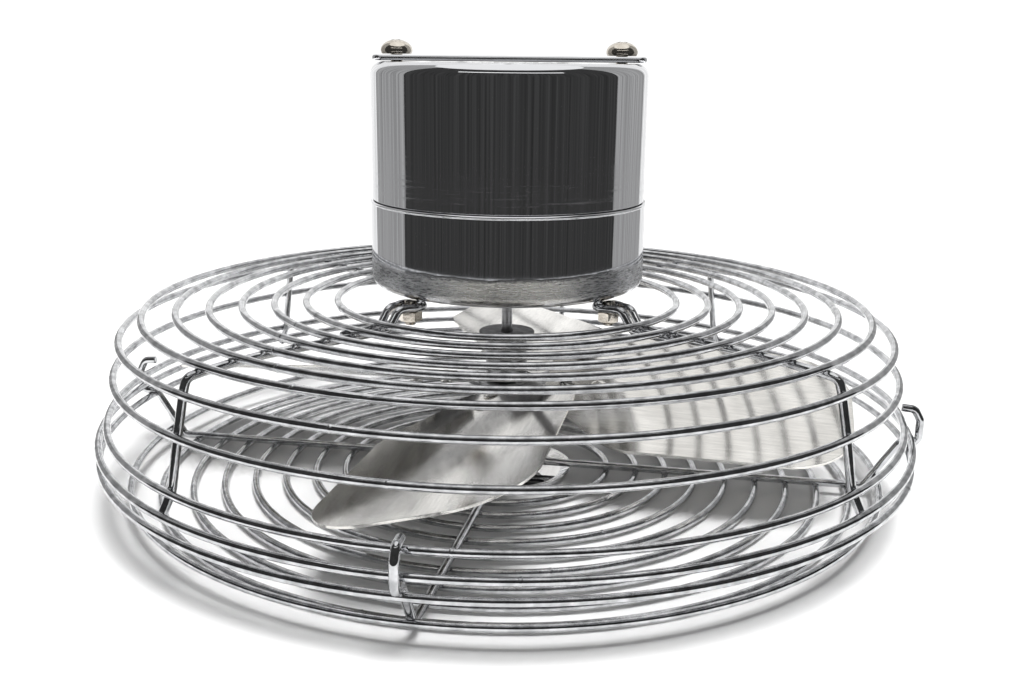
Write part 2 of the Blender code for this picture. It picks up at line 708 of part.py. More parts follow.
def spider_mesh():
    """A centre disc with four twisted arms that lie under the blades."""
    disc = [
        (SPIDER_BORE, SPIDER_TOP), (SPIDER_RADIUS, SPIDER_TOP), (SPIDER_RADIUS, SPIDER_BOTTOM),
        (SPIDER_BORE, SPIDER_BOTTOM),
    ]
    body = turned("spider", disc, SOME, 4.0)
    drop = BLADE_THICKNESS / 2 + GAP + ARM_THICKNESS / 2
    widths = (
        (ARM_START, ARM_ROOT_HALF), (BLADE_ROOT, ARM_HALF), (ARM_TAPER_START, ARM_TAPER_HALF),
        (ARM_END, ARM_END_HALF),
    )
    rows = []
    for reach, half in widths:
        twist = min(1.0, (reach - ARM_START) / (BLADE_ROOT - ARM_START)) * blade_slope(reach)
        middle = blade_height(max(reach, BLADE_ROOT)) - drop
        rows.append([(reach, side, middle + twist * side) for side in (-half, half)])
    arms = []
    for i in range(BLADES):
        arms.append(cutter("arm", sheet("arm", rows, ARM_THICKNESS), (0, 0, 0), (0, 0, BLADE_ANGLE + 90 * i)))
    body = combined(body, arms, "UNION")
    drills = []
    for i in range(BLADES):
        drills += [rivet_drill(reach, BLADE_ANGLE + 90 * i) for reach in RIVET_REACHES]
    return combined(body, drills, "DIFFERENCE")


def blade_wheel(axis):
    blade = blade_mesh()
    rivet = [
        (0, 2.1), (2.4, 1.7), (3.4, 0.85), (1.7, 0.85), (1.7, -2.85), (3.0, -2.85), (2.6, -3.7), (0, -3.7),
    ]
    rivet = turned("rivet", rivet, 8)
    for i in range(BLADES):
        angle = BLADE_ANGLE + 90 * i
        number = str(i + 1)
        place("blade_" + number, blade.copy(), ALUMINIUM, (0, 0, 0), (0, 0, angle), axis)
        for side, reach in zip(("inner", "outer"), RIVET_REACHES):
            obj = place("rivet_" + number + "_" + side, rivet.copy(), ALUMINIUM, parent=axis)
            obj.matrix_world = Matrix.Rotation(math.radians(angle), 4, "Z") @ rivet_frame(reach)
    place("spider", spider_mesh(), STEEL, parent=axis)
    hub_bottom = SPIDER_BOTTOM - HUB_RIM
    hub = [
        (SHAFT_BORE, HUB_TOP), (HUB_RADIUS - HUB_CHAMFER, HUB_TOP), (HUB_RADIUS, HUB_TOP - HUB_CHAMFER),
        (HUB_RADIUS, SPIDER_TOP + GAP), (NECK_RADIUS, SPIDER_TOP + GAP), (NECK_RADIUS, hub_bottom),
        (SHAFT_BORE, hub_bottom),
    ]
    sideways = (0, 90, SET_SCREW_ANGLE)
    hole = drill(SET_SCREW_RADIUS + 0.4, 0, HUB_RADIUS + 3, (0, 0, SET_SCREW_HEIGHT), sideways)
    place("hub", combined(turned("hub", hub, SOME), [hole], "DIFFERENCE"), STEEL, parent=axis)
    outer = HUB_RADIUS + 1.2
    inner = SHAFT_RADIUS + 0.5
    grub = [(0, outer), (SET_SCREW_RADIUS, outer), (SET_SCREW_RADIUS, inner + 0.6), (1.2, inner), (0, inner)]
    place("set_screw", turned("set_screw", grub, FEW), DARK_STEEL, (0, 0, SET_SCREW_HEIGHT), sideways, axis)
    slinger = [
        (SHAFT_BORE, SLINGER_TOP), (SLINGER_RADIUS, SLINGER_TOP), (SLINGER_RADIUS, SLINGER_BOTTOM),
        (SHAFT_BORE, SLINGER_BOTTOM),
    ]
    place("slinger_disc", turned("slinger_disc", slinger, SOME), DARK_STEEL, parent=axis)


def rotor(axis):
    tip = SHAFT_TIP_RADIUS
    shaft = [
        (0, SHAFT_TOP + 0.5), (tip, SHAFT_TOP + 0.5), (SHAFT_RADIUS, SHAFT_TOP), (SHAFT_RADIUS, SHAFT_BOTTOM + 0.5),
        (tip, SHAFT_BOTTOM), (0, SHAFT_BOTTOM),
    ]
    place("shaft", turned("shaft", shaft, 16), STEEL, parent=axis)
    core = [
        (SHAFT_BORE, CORE_TOP), (ROTOR_RADIUS, CORE_TOP), (ROTOR_RADIUS, CORE_BOTTOM), (SHAFT_BORE, CORE_BOTTOM),
    ]
    place("rotor_core", turned("rotor_core", core, SOME), DARK_STEEL, parent=axis)
    end = [(15.0, 0.0), (25.0, 0.0), (24.2, 5.0), (16.0, 5.0)]
    ring = turned("end_ring", end, SOME)
    place("end_ring_rear", ring.copy(), ALUMINIUM, (0, 0, CORE_TOP + GAP), (0, 0, 0), axis)
    place("end_ring_front", ring.copy(), ALUMINIUM, (0, 0, CORE_BOTTOM - GAP), (180, 0, 0), axis)
    outline = [(SHAFT_BORE, 0.0), (WASHER_RADIUS, 0.0), (WASHER_RADIUS, 1.0), (SHAFT_BORE, 1.0)]
    washer = turned("washer", outline, SOME)
    place("thrust_washer_front", washer.copy(), BRONZE, (0, 0, FRONT_WASHER), (0, 0, 0), axis)
    place("thrust_washer_rear", washer.copy(), BRONZE, (0, 0, REAR_WASHER), (0, 0, 0), axis)


clear_scene()
rotor_axis = bpy.data.objects.new("rotor_axis", None)
bpy.context.scene.collection.objects.link(rotor_axis)
rear_guard()
front_guard()
badge()
front_shell()
rear_shell()
end_plate()
strap()
guard_fixings()
stator()
bearings()
rotor(rotor_axis)
blade_wheel(rotor_axis)
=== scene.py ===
"""Looks of the desk fan head: smooth wires, shells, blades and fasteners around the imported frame.

Lengths are in millimetres and are scaled to metres as each mesh is made. The fan's axis is Z.
"Radius" is measured from the axis and "height" from the floor, on which the badge rests.
"""

import math

import bmesh
import bpy
from mathutils import Matrix, Vector


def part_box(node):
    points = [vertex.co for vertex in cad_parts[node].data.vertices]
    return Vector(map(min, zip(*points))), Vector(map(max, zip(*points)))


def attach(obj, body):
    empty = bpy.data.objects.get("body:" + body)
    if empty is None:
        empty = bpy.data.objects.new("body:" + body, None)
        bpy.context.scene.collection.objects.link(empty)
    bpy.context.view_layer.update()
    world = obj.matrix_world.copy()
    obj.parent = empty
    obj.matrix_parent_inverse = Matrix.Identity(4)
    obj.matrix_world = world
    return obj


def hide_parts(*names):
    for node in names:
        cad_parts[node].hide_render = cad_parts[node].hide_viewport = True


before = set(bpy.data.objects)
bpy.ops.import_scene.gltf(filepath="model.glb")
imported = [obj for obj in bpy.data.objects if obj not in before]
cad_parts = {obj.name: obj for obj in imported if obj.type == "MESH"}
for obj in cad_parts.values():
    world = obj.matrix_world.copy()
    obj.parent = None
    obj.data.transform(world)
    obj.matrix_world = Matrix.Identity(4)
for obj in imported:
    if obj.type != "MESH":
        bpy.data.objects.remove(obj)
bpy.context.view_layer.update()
MM = 0.001


def low_of(node):
    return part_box(node)[0][2] / MM


def top_of(node):
    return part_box(node)[1][2] / MM


def reach_of(node):
    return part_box(node)[1][0] / MM


def metres(*lengths):
    return [length * MM for length in lengths]


# Camera, nearly along +Y, a little above the motor's top, looking down
SENSOR_WIDTH = 36.0
LENS = 39.3274
CAMERA_PLACE = (-13.1, -468.8, 180.0)
CAMERA_HEADING = 88.3
CAMERA_PITCH = 14.85
CAMERA_ROLL = 0.61

# Wire cage
RING_WIRE = 1.5
SPOKE_WIRE = 1.65
CONTACT = 2.55
REAR_FACE_HEIGHT = 79.5
REAR_FIRST_RING = 72.2
REAR_RING_PITCH = 13.05
REAR_FACE_RINGS = 7
REAR_FACE_DROP = {5: 0.4, 6: 1.4}
REAR_SIDE_RINGS = ((159.5, 70.3), (162.6, 55.9), (166.2, 37.0), (170.0, 30.0))
REAR_BEND = (155.5, 74.9)
REAR_SPOKE_ANGLES = (45.0, 135.0, 225.0, 315.0)
FRONT_RING_HEIGHT = 2.9
FRONT_OUTER_RING = (159.2, 8.9)
FRONT_SECOND_RING = 147.7
FRONT_RING_PITCH = 12.8
FRONT_INNER_RINGS = 9
FRONT_RIM_RING = (170.0, 23.4)
FRONT_SPOKE_ANGLE = -102.3
FRONT_SPOKE_START = 8.5
HOOK = (
    (153.9, 5.45), (167.0, 25.95), (174.3, 26.2), (174.3, 36.0), (171.8, 40.6), (166.8, 41.0),
)
HOOK_BEND = 3.0
BEND_RADIUS = 4.0
EYELET_RADIUS = 5.0
EYELET_HEIGHT = 84.1
TAIL_SIDE = 2.75
BEAD = (1.5, 1.5, 1.1)
JOINT_BEAD = 1.12
STUD_REACH = 55.5
STUD_RADIUS = 2.5
THREAD_PITCH = 0.8
GUARD_NUT_WIDTH = 8.0

# Badge, its clamp disc and its screw
BADGE_FLAT = 25.0
BADGE_RADIUS = 29.5
BADGE_HEIGHT = 3.4
BADGE_SHEET = 1.3
BOSS_RADIUS = 6.5
BOSS_TOP = 6.0
PILOT_RADIUS = 2.2
PILOT_BOTTOM = 2.4
CLAMP_RADIUS = 18.0
CLAMP_THICKNESS = 1.5

# Motor, from the frame
CAN_RADIUS = reach_of("rear_shell")
CAN_TOP = top_of("rear_shell")
CAN_LOW = low_of("rear_shell")
LIP_RADIUS = reach_of("front_shell")
LIP_TOP = top_of("front_shell")
CAN_BOTTOM = low_of("front_shell")
CAN_WALL = 1.2
LIP = 0.3
LEAD_HEIGHT = 154.5
LEAD_HOLE = 4.5
TOP_ROUNDING = 5.0
BOTTOM_ROUNDING = 4.0
MOUTH_RADIUS = 40.0
DOME_RADIUS = reach_of("end_plate")
DOME_LOW = low_of("end_plate")
DOME_RISE = 4.0
DOME_EDGE = 8.0
DOME_SHEET = 0.8
DOME_HOLE = 4.0
STRAP_HALF_LENGTH = reach_of("mounting_strap")
STRAP_HALF_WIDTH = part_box("mounting_strap")[1][1] / MM
STRAP_LOW = low_of("mounting_strap")
STRAP_TOP = top_of("mounting_strap")
STRAP_WAIST_HALF_WIDTH = 9.7
STRAP_WAIST_HALF_LENGTH = 36.0
STRAP_CORNER = 4.0
STRAP_BOLT_REACH = 46.0
BOLT_HOLE = 2.8
BOLT_RADIUS = 2.4
BOLT_LENGTH = 15.0
BOLT_HEAD_RADIUS = 6.5
BOLT_HEAD_DOME = 4.3
BOLT_HEAD_SIDE = 1.4
SHAFT_BORE = 2.6

# Blade wheel
BLADE_ANGLE = -104.5
BLADES = 4
BLADE_ROOT = 18.0
BLADE_SHOULDER = 58.0
BLADE_TIP = 147.0
BLADE_LOW_SIDE = -40.0
BLADE_HIGH_SIDE = 40.0
BLADE_ROOT_HALF = 16.0
BLADE_CORNER = 28.0
BLADE_THICKNESS = 1.1
ROOT_HEIGHT = 43.0
TIP_HEIGHT = 37.7
ROOT_SLOPE = 0.37
TIP_SLOPE = 0.27
ARM_START = 9.5
ARM_END = 48.0
ARM_HALF = 9.0
ARM_THICKNESS = 1.8
RIVET_REACHES = (27.0, 41.0)
RIVET_RADIUS = 1.7
RIVET_HEAD_RADIUS = 3.4
RIVET_HEAD_DOME = 1.25
RIVET_HEAD_LOW = 0.85
RIVET_FOOT_TOP = -2.85
HUB_RADIUS = reach_of("hub")
HUB_TOP = top_of("hub")
SET_SCREW_HEIGHT = 52.5
SET_SCREW_ANGLE = 30.0
SPIDER_RADIUS = 13.0
SPIDER_TOP = 42.9
SPIDER_BOTTOM = 40.1
SPIDER_BORE = 5.5
NECK_RADIUS = 5.1
NECK_BOTTOM = SPIDER_BOTTOM - 1.2
GAP = 0.3

# Facets round a turned piece or a ring
FINE = 128
INNER_RING = 96
MEDIUM = 64
SMALL = 32
SHARP_ANGLE = math.radians(35)


# ---------------------------------------------------------------- camera

def make_camera():
    data = bpy.data.cameras.new("camera")
    data.sensor_width = SENSOR_WIDTH
    data.lens = LENS
    camera = bpy.data.objects.new("camera", data)
    bpy.context.scene.collection.objects.link(camera)
    heading = math.radians(CAMERA_HEADING)
    pitch = math.radians(CAMERA_PITCH)
    roll = math.radians(CAMERA_ROLL)
    ahead = Vector((
        math.cos(heading) * math.cos(pitch), math.sin(heading) * math.cos(pitch), -math.sin(pitch),
    ))
    right = ahead.cross(Vector((0, 0, 1))).normalized()
    up = right.cross(ahead)
    right_rolled = right * math.cos(roll) + up * math.sin(roll)
    up_rolled = up * math.cos(roll) - right * math.sin(roll)
    matrix = Matrix((right_rolled, up_rolled, -ahead)).transposed().to_4x4()
    matrix.translation = Vector(CAMERA_PLACE) * MM
    camera.matrix_world = matrix
    bpy.context.scene.camera = camera


# ---------------------------------------------------------------- materials

class Nodes:
    """A material's node tree with short calls for the nodes used here."""

    def __init__(self, name):
        self.material = bpy.data.materials.new(name)
        self.material.use_nodes = True
        self.tree = self.material.node_tree
        self.shader = self.tree.nodes["Principled BSDF"]
        coords = self.tree.nodes.new("ShaderNodeTexCoord")
        self.place = coords.outputs["Object"]

    def link(self, source, target):
        self.tree.links.new(source, target)

    def glow(self):
        """Swaps the surface shader for plain emission."""
        self.tree.nodes.remove(self.shader)
        self.shader = self.tree.nodes.new("ShaderNodeEmission")
        output = self.tree.nodes["Material Output"]
        self.link(self.shader.outputs["Emission"], output.inputs["Surface"])

    def stretched(self, scale, vector=None):
        node = self.tree.nodes.new("ShaderNodeMapping")
        node.inputs["Scale"].default_value = scale
        self.link(vector or self.place, node.inputs["Vector"])
        return node.outputs["Vector"]

    def noise(self, scale, detail=3.0, vector=None, roughness=0.5):
        node = self.tree.nodes.new("ShaderNodeTexNoise")
        node.inputs["Scale"].default_value = scale
        node.inputs["Detail"].default_value = detail
        node.inputs["Roughness"].default_value = roughness
        self.link(vector or self.place, node.inputs["Vector"])
        return node.outputs["Fac"]

    def spread(self, value, low, high, to_low, to_high):
        node = self.tree.nodes.new("ShaderNodeMapRange")
        node.inputs["From Min"].default_value = low
        node.inputs["From Max"].default_value = high
        node.inputs["To Min"].default_value = to_low
        node.inputs["To Max"].default_value = to_high
        self.link(value, node.inputs["Value"])
        return node.outputs["Result"]

    def math(self, operation, first, second):
        node = self.tree.nodes.new("ShaderNodeMath")
        node.operation = operation
        for value, socket in ((first, node.inputs[0]), (second, node.inputs[1])):
            if isinstance(value, (int, float)):
                socket.default_value = value
            else:
                self.link(value, socket)
        return node.outputs["Value"]

    def mix(self, share, first, second):
        node = self.tree.nodes.new("ShaderNodeMix")
        node.data_type = "RGBA"
        self.link(share, node.inputs["Factor"])
        for value, name in ((first, "A"), (second, "B")):
            if isinstance(value, tuple):
                node.inputs[name].default_value = (*value, 1.0)
            else:
                self.link(value, node.inputs[name])
        return node.outputs["Result"]

    def along(self, axis):
        node = self.tree.nodes.new("ShaderNodeSeparateXYZ")
        self.link(self.place, node.inputs["Vector"])
        return node.outputs[axis]

    def bump(self, value, strength, distance):
        node = self.tree.nodes.new("ShaderNodeBump")
        node.inputs["Strength"].default_value = strength
        node.inputs["Distance"].default_value = distance
        self.link(value, node.inputs["Height"])
        self.link(node.outputs["Normal"], self.shader.inputs["Normal"])

    def surface(self, colour, roughness):
        self.link(colour, self.shader.inputs["Base Color"])
        self.link(roughness, self.shader.inputs["Roughness"])


def metal(name, light, dark, rough, mottle, grain, grain_strength, stretch=(1, 1, 1)):
    """A plated or bare metal: mottled between two tones, with uneven gloss and a fine grain."""
    nodes = Nodes(name)
    nodes.shader.inputs["Metallic"].default_value = 1.0
    vector = nodes.stretched(stretch)
    blotch = nodes.noise(mottle, 4.0, vector, 0.6)
    colour = nodes.mix(nodes.spread(blotch, 0.35, 0.65, 0.0, 1.0), dark, light)
    gloss = nodes.spread(nodes.noise(mottle * 2.3, 5.0, vector, 0.6), 0.3, 0.7, *rough)
    nodes.surface(colour, gloss)
    nodes.bump(nodes.noise(grain, 2.0, vector), grain_strength, 0.0002)
    return nodes.material


def polished_chrome():
    """Mirror plate: a faint haze, scratches above the motor's seam, and a rough band near its bottom.

    The band has a painted highlight in its middle, where it faces the camera: lighter, warmer and less
    streaked there.
    """
    nodes = Nodes("chrome")
    nodes.shader.inputs["Metallic"].default_value = 1.0
    height = nodes.along("Z")
    haze = nodes.noise(22.0, 4.0)
    hairlines = nodes.noise(1.0, 3.0, nodes.stretched((35.0, 35.0, 1500.0)), 0.7)
    near_seam = nodes.math(
        "MULTIPLY",
        nodes.spread(height, *metres(LIP_TOP - 0.4, LIP_TOP + 4.6), 0.0, 1.0),
        nodes.spread(height, *metres(LIP_TOP + 7.6, LIP_TOP + 24.6), 1.0, 0.0),
    )
    worn = nodes.math("MULTIPLY", near_seam, nodes.spread(hairlines, 0.45, 0.7, 0.0, 0.22))
    edge = nodes.math("ADD", height, nodes.spread(nodes.noise(40.0, 4.0), 0.3, 0.7, -0.0012, 0.0012))
    band = nodes.math(
        "MULTIPLY",
        nodes.spread(edge, *metres(CAN_BOTTOM + 10.5, CAN_BOTTOM + 12.0), 1.0, 0.0),
        nodes.spread(height, *metres(CAN_BOTTOM + 1.5, CAN_BOTTOM + 3.0), 0.0, 1.0),
    )
    sparkle = nodes.noise(1.0, 4.0, nodes.stretched((260.0, 260.0, 2200.0)), 0.75)
    matt = nodes.math("MULTIPLY", band, nodes.spread(sparkle, 0.35, 0.65, 0.10, 0.38))
    gloss = nodes.math("ADD", nodes.spread(haze, 0.3, 0.7, 0.02, 0.055), nodes.math("ADD", worn, matt))
    rubbed = nodes.spread(nodes.noise(26.0, 3.0), 0.42, 0.56, -0.15, 0.25)
    from_middle = nodes.math("ABSOLUTE", nodes.along("X"), 0.0)
    # Painted highlight: across the band's middle, where it faces the camera, the dark streaks thin out and
    # the tone turns light and warm
    painted_highlight = nodes.math("MULTIPLY", band, nodes.spread(from_middle, *metres(14.0, 36.0), 0.75, 0.0))
    streak = nodes.math("ADD", nodes.spread(sparkle, 0.40, 0.58, 0.9, 0.1), rubbed)
    streak = nodes.math("SUBTRACT", streak, painted_highlight)
    dull = nodes.math("MULTIPLY", band, nodes.spread(streak, 0.0, 1.0, 0.0, 1.0))
    bright = nodes.mix(painted_highlight, (0.70, 0.705, 0.72), (1.0, 0.97, 0.90))
    nodes.surface(nodes.mix(nodes.spread(dull, 0.0, 1.0, 1.0, 0.0), (0.10, 0.10, 0.105), bright), gloss)
    relief = nodes.math(
        "ADD",
        nodes.math("MULTIPLY", nodes.noise(55.0, 2.0), 0.10),
        nodes.math("MULTIPLY", sparkle, band),
    )
    nodes.bump(relief, 0.3, 0.0003)
    return nodes.material


def rolled_aluminium():
    """Satin sheet with fine lines along its rolling direction and soft darker smears."""
    nodes = Nodes("aluminium")
    nodes.shader.inputs["Metallic"].default_value = 1.0
    lines = nodes.noise(1.0, 4.0, nodes.stretched((60.0, 900.0, 900.0)), 0.65)
    smear = nodes.noise(28.0, 4.0, None, 0.6)
    tone = nodes.math("ADD", nodes.math("MULTIPLY", lines, 0.4), nodes.math("MULTIPLY", smear, 0.6))
    colour = nodes.mix(nodes.spread(tone, 0.38, 0.62, 0.0, 1.0), (0.66, 0.645, 0.615), (0.86, 0.845, 0.81))
    nodes.surface(colour, nodes.spread(smear, 0.3, 0.7, 0.08, 0.18))
    nodes.bump(lines, 0.12, 0.0001)
    return nodes.material


def wound_copper():
    """Lacquered wire: close turns as ridges, with the lacquer darker in places."""
    nodes = Nodes("copper")
    nodes.shader.inputs["Metallic"].default_value = 0.9
    turns = nodes.tree.nodes.new("ShaderNodeTexWave")
    turns.wave_type = "RINGS"
    turns.rings_direction = "Z"
    turns.inputs["Scale"].default_value = 260.0
    turns.inputs["Distortion"].default_value = 2.0
    nodes.link(nodes.place, turns.inputs["Vector"])
    colour = nodes.mix(turns.outputs["Fac"], (0.22, 0.07, 0.03), (0.60, 0.25, 0.11))
    nodes.surface(colour, nodes.spread(nodes.noise(160.0), 0.3, 0.7, 0.25, 0.45))
    nodes.bump(turns.outputs["Fac"], 0.6, 0.0003)
    return nodes.material


def moulded_rubber():
    nodes = Nodes("rubber")
    blotch = nodes.noise(120.0, 4.0)
    colour = nodes.mix(blotch, (0.012, 0.012, 0.012), (0.035, 0.034, 0.033))
    nodes.surface(colour, nodes.spread(blotch, 0.3, 0.7, 0.55, 0.8))
    nodes.bump(nodes.noise(1400.0, 2.0), 0.25, 0.0001)
    return nodes.material


def make_finishes():
    return {
        "chrome": polished_chrome(),
        "chromed_wire": metal(
            "chromed_wire", (0.68, 0.685, 0.70), (0.38, 0.385, 0.395), (0.03, 0.09), 170.0, 700.0, 0.08
        ),
        "nickel": metal(
            "nickel", (0.76, 0.71, 0.63), (0.56, 0.51, 0.44), (0.06, 0.17), 210.0, 900.0, 0.10
        ),
        "aluminium": rolled_aluminium(),
        "steel": metal(
            "steel", (0.50, 0.50, 0.51), (0.33, 0.33, 0.34), (0.25, 0.45), 150.0, 800.0, 0.2, (1, 1, 6)
        ),
        "dark_steel": metal(
            "dark_steel", (0.16, 0.16, 0.165), (0.07, 0.07, 0.072), (0.35, 0.6), 140.0, 900.0, 0.3
        ),
        "bronze": metal(
            "bronze", (0.55, 0.36, 0.17), (0.36, 0.23, 0.10), (0.35, 0.55), 240.0, 1200.0, 0.35
        ),
        "copper": wound_copper(),
        "rubber": moulded_rubber(),
    }


FINISHES = make_finishes()


# ---------------------------------------------------------------- mesh tools

def mesh_from(bm, name):
    bmesh.ops.recalc_face_normals(bm, faces=bm.faces)
    bmesh.ops.scale(bm, vec=(MM, MM, MM), verts=bm.verts)
    mesh = bpy.data.meshes.new(name)
    bm.to_mesh(mesh)
    bm.free()
    mesh.shade_smooth()
    mesh.set_sharp_from_angle(angle=SHARP_ANGLE)
    return mesh


def arc(centre, radius, start, end, steps):
    points = []
    for i in range(steps + 1):
        angle = math.radians(start + (end - start) * i / steps)
        points.append((centre[0] + radius * math.cos(angle), centre[1] + radius * math.sin(angle)))
    return points


def softened(outline, bend, steps=3):
    """A closed outline with each corner that isn't on the axis rounded by up to this radius."""
    points = [Vector(point) for point in outline]
    count = len(points)
    result = []
    for i, corner in enumerate(points):
        back = points[i - 1] - corner
        ahead = points[(i + 1) % count] - corner
        if corner.x == 0 or back.length == 0 or ahead.length == 0:
            result.append(tuple(corner))
            continue
        half = back.angle(ahead) / 2
        if half > math.radians(80):
            result.append(tuple(corner))
            continue
        reach = min(bend / math.tan(half), 0.45 * min(back.length, ahead.length))
        radius = reach * math.tan(half)
        centre = corner + (back.normalized() + ahead.normalized()).normalized() * (radius / math.sin(half))
        start = corner + back.normalized() * reach - centre
        end = corner + ahead.normalized() * reach - centre
        for j in range(steps + 1):
            result.append(tuple(centre + (start * (1 - j / steps) + end * (j / steps)).normalized() * radius))
    return result


def revolve_into(bm, profile, steps):
    rings = []
    for radius, height in profile:
        if radius == 0:
            rings.append([bm.verts.new((0, 0, height))])
            continue
        turns = [2 * math.pi * i / steps for i in range(steps)]
        rings.append([bm.verts.new((radius * math.cos(a), radius * math.sin(a), height)) for a in turns])
    for first, second in zip(rings, rings[1:] + rings[:1]):
        for i in range(steps):
            j = (i + 1) % steps
            corners = [
                first[i % len(first)],
                first[j % len(first)],
                second[j % len(second)],
                second[i % len(second)],
            ]
            corners = list(dict.fromkeys(corners))
            if len(corners) > 2:
                bm.faces.new(corners)


def half_dome(radius, rise, base, step):
    """The profile of a domed head from the axis to its widest point, with a point every few degrees."""
    points = [(0, base + rise)]
    for angle in range(step, 91, step):
        turn = math.radians(angle)
        points.append((radius * math.sin(turn), base + rise * math.cos(turn)))
    return points


def turned(name, profile, steps):
    bm = bmesh.new()
    revolve_into(bm, profile, steps)
    return mesh_from(bm, name)


def prism(name, outline, low, high):
    bm = bmesh.new()
    face = bm.faces.new([bm.verts.new((x, y, low)) for x, y in outline])
    raised = bmesh.ops.extrude_face_region(bm, geom=[face])
    top = [item for item in raised["geom"] if isinstance(item, bmesh.types.BMVert)]
    bmesh.ops.translate(bm, vec=(0, 0, high - low), verts=top)
    return mesh_from(bm, name)


def hex_outline(across_flats):
    return arc((0, 0), across_flats / math.sqrt(3), 0, 300, 5)


def helper(mesh, at=(0, 0, 0), turn=(0, 0, 0)):
    obj = bpy.data.objects.new("helper", mesh)
    bpy.context.scene.collection.objects.link(obj)
    obj.location = Vector(at) * MM
    obj.rotation_euler = [math.radians(angle) for angle in turn]
    return obj


def combined(mesh, others, operation):
    """The mesh after a Boolean with each helper object, which are then removed."""
    work = helper(mesh)
    for other in others:
        step = work.modifiers.new("cut", "BOOLEAN")
        step.operation = operation
        step.solver = "EXACT"
        step.object = other
    bpy.context.view_layer.update()
    graph = bpy.context.evaluated_depsgraph_get()
    result = bpy.data.meshes.new_from_object(work.evaluated_get(graph))
    for obj in [work, *others]:
        bpy.data.objects.remove(obj, do_unlink=True)
    result.shade_smooth()
    result.set_sharp_from_angle(angle=SHARP_ANGLE)
    return result


def drill(radius, low, high, at=(0, 0, 0), turn=(0, 0, 0)):
    return helper(turned("drill", [(0, high), (radius, high), (radius, low), (0, low)], SMALL), at, turn)


def cross_recess(span, width, low, high, turn):
    """Two crossed bars that sink a screwdriver's cross into a head."""
    bars = []
    for i, extra in enumerate((0.0, 90.0)):
        half = span / 2
        outline = [(-half, -width / 2), (half, -width / 2), (half, width / 2), (-half, width / 2)]
        bars.append(helper(prism("recess", outline, low - 0.001 * i, high), (0, 0, 0), (0, 0, turn + extra)))
    return bars


def bent_path(corners, bend, steps=6):
    """The corners joined by straight runs, with each bend turned on an arc that fits its runs."""
    path = [corners[0]]
    for before, corner, after in zip(corners, corners[1:], corners[2:]):
        back = before - corner
        ahead = after - corner
        half = back.angle(ahead) / 2
        if half > math.radians(86):
            path.append(corner)
            continue
        reach = min(bend / math.tan(half), 0.45 * min(back.length, ahead.length))
        radius = reach * math.tan(half)
        centre = corner + (back.normalized() + ahead.normalized()).normalized() * (radius / math.sin(half))
        start = (corner + back.normalized() * reach - centre).normalized()
        end = (corner + ahead.normalized() * reach - centre).normalized()
        for i in range(steps + 1):
            path.append(centre + start.slerp(end, i / steps) * radius)
    path.append(corners[-1])
    return path


def add_wire(bm, path, radius, sides=12):
    """Sweeps a round wire along the path. Its cut ends are slightly rounded over."""
    directions = [(b - a).normalized() for a, b in zip(path, path[1:])]
    tangents = [directions[0]]
    for before, after in zip(directions, directions[1:]):
        tangents.append((before + after).normalized())
    tangents.append(directions[-1])
    across = Vector((0, 0, 1)).cross(tangents[0])
    if across.length < 0.1:
        across = Vector((1, 0, 0)).cross(tangents[0])
    across.normalize()
    stations = [(path[0] - tangents[0] * 0.35, tangents[0], 0.72)]
    stations += [(point, tangent, 1.0) for point, tangent in zip(path, tangents)]
    stations.append((path[-1] + tangents[-1] * 0.35, tangents[-1], 0.72))
    sections = []
    previous = tangents[0]
    for point, tangent, share in stations:
        across = previous.rotation_difference(tangent) @ across
        previous = tangent
        up = tangent.cross(across)
        section = []
        for i in range(sides):
            angle = 2 * math.pi * i / sides
            offset = (across * math.cos(angle) + up * math.sin(angle)) * (radius * share)
            section.append(bm.verts.new(point + offset))
        sections.append(section)
    for first, second in zip(sections, sections[1:]):
        for i in range(sides):
            j = (i + 1) % sides
            bm.faces.new((first[i], first[j], second[j], second[i]))
    bm.faces.new(sections[0])
    bm.faces.new(sections[-1])


def add_ring(bm, radius, height, sides=12):
    steps = FINE if radius > 80 else INNER_RING
    sections = []
    for i in range(steps):
        around = 2 * math.pi * i / steps
        section = []
        for j in range(sides):
            angle = 2 * math.pi * j / sides
            reach = radius + RING_WIRE * math.cos(angle)
            lift = height + RING_WIRE * math.sin(angle)
            section.append(bm.verts.new((reach * math.cos(around), reach * math.sin(around), lift)))
        sections.append(section)
    for i, first in enumerate(sections):
        second = sections[(i + 1) % steps]
        for j in range(sides):
            k = (j + 1) % sides
            bm.faces.new((first[j], first[k], second[k], second[j]))


def add_bead(bm, at, size):
    """A small lump of weld, as an ellipsoid with half-lengths along X, Y and Z."""
    made = bmesh.ops.create_icosphere(bm, subdivisions=2, radius=1.0)
    bmesh.ops.scale(bm, vec=size, verts=made["verts"])
    bmesh.ops.translate(bm, vec=at, verts=made["verts"])


def around(radius, angle, height):
    return Vector((radius * math.cos(math.radians(angle)), radius * math.sin(math.radians(angle)), height))


def show(name, mesh, body, slot, replaced, at=(0, 0, 0), turn=(0, 0, 0), matrix=None):
    """Adds a finished piece that rides on a body and stands for CAD nodes."""
    obj = bpy.data.objects.new(name, mesh)
    bpy.context.scene.collection.objects.link(obj)
    obj.location = Vector(at) * MM
    obj.rotation_euler = [math.radians(angle) for angle in turn]
    if matrix is not None:
        obj.matrix_world = matrix
    mesh.materials.clear()
    mesh.materials.append(FINISHES[slot])
    even = obj.modifiers.new("even_shading", "WEIGHTED_NORMAL")
    even.mode = "FACE_AREA"
    even.weight = 100
    even.keep_sharp = True
    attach(obj, body)
    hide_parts(*replaced)
    return obj


def bevelled(obj, width, segments, angle=35):
    """Rounds the sharp edges. The modifier goes before the one that evens the shading."""
    step = obj.modifiers.new("bevel", "BEVEL")
    obj.modifiers.move(1, 0)
    step.width = width * MM
    step.segments = segments
    step.limit_method = "ANGLE"
    step.angle_limit = math.radians(angle)
    step.harden_normals = False


# ---------------------------------------------------------------- wire guards

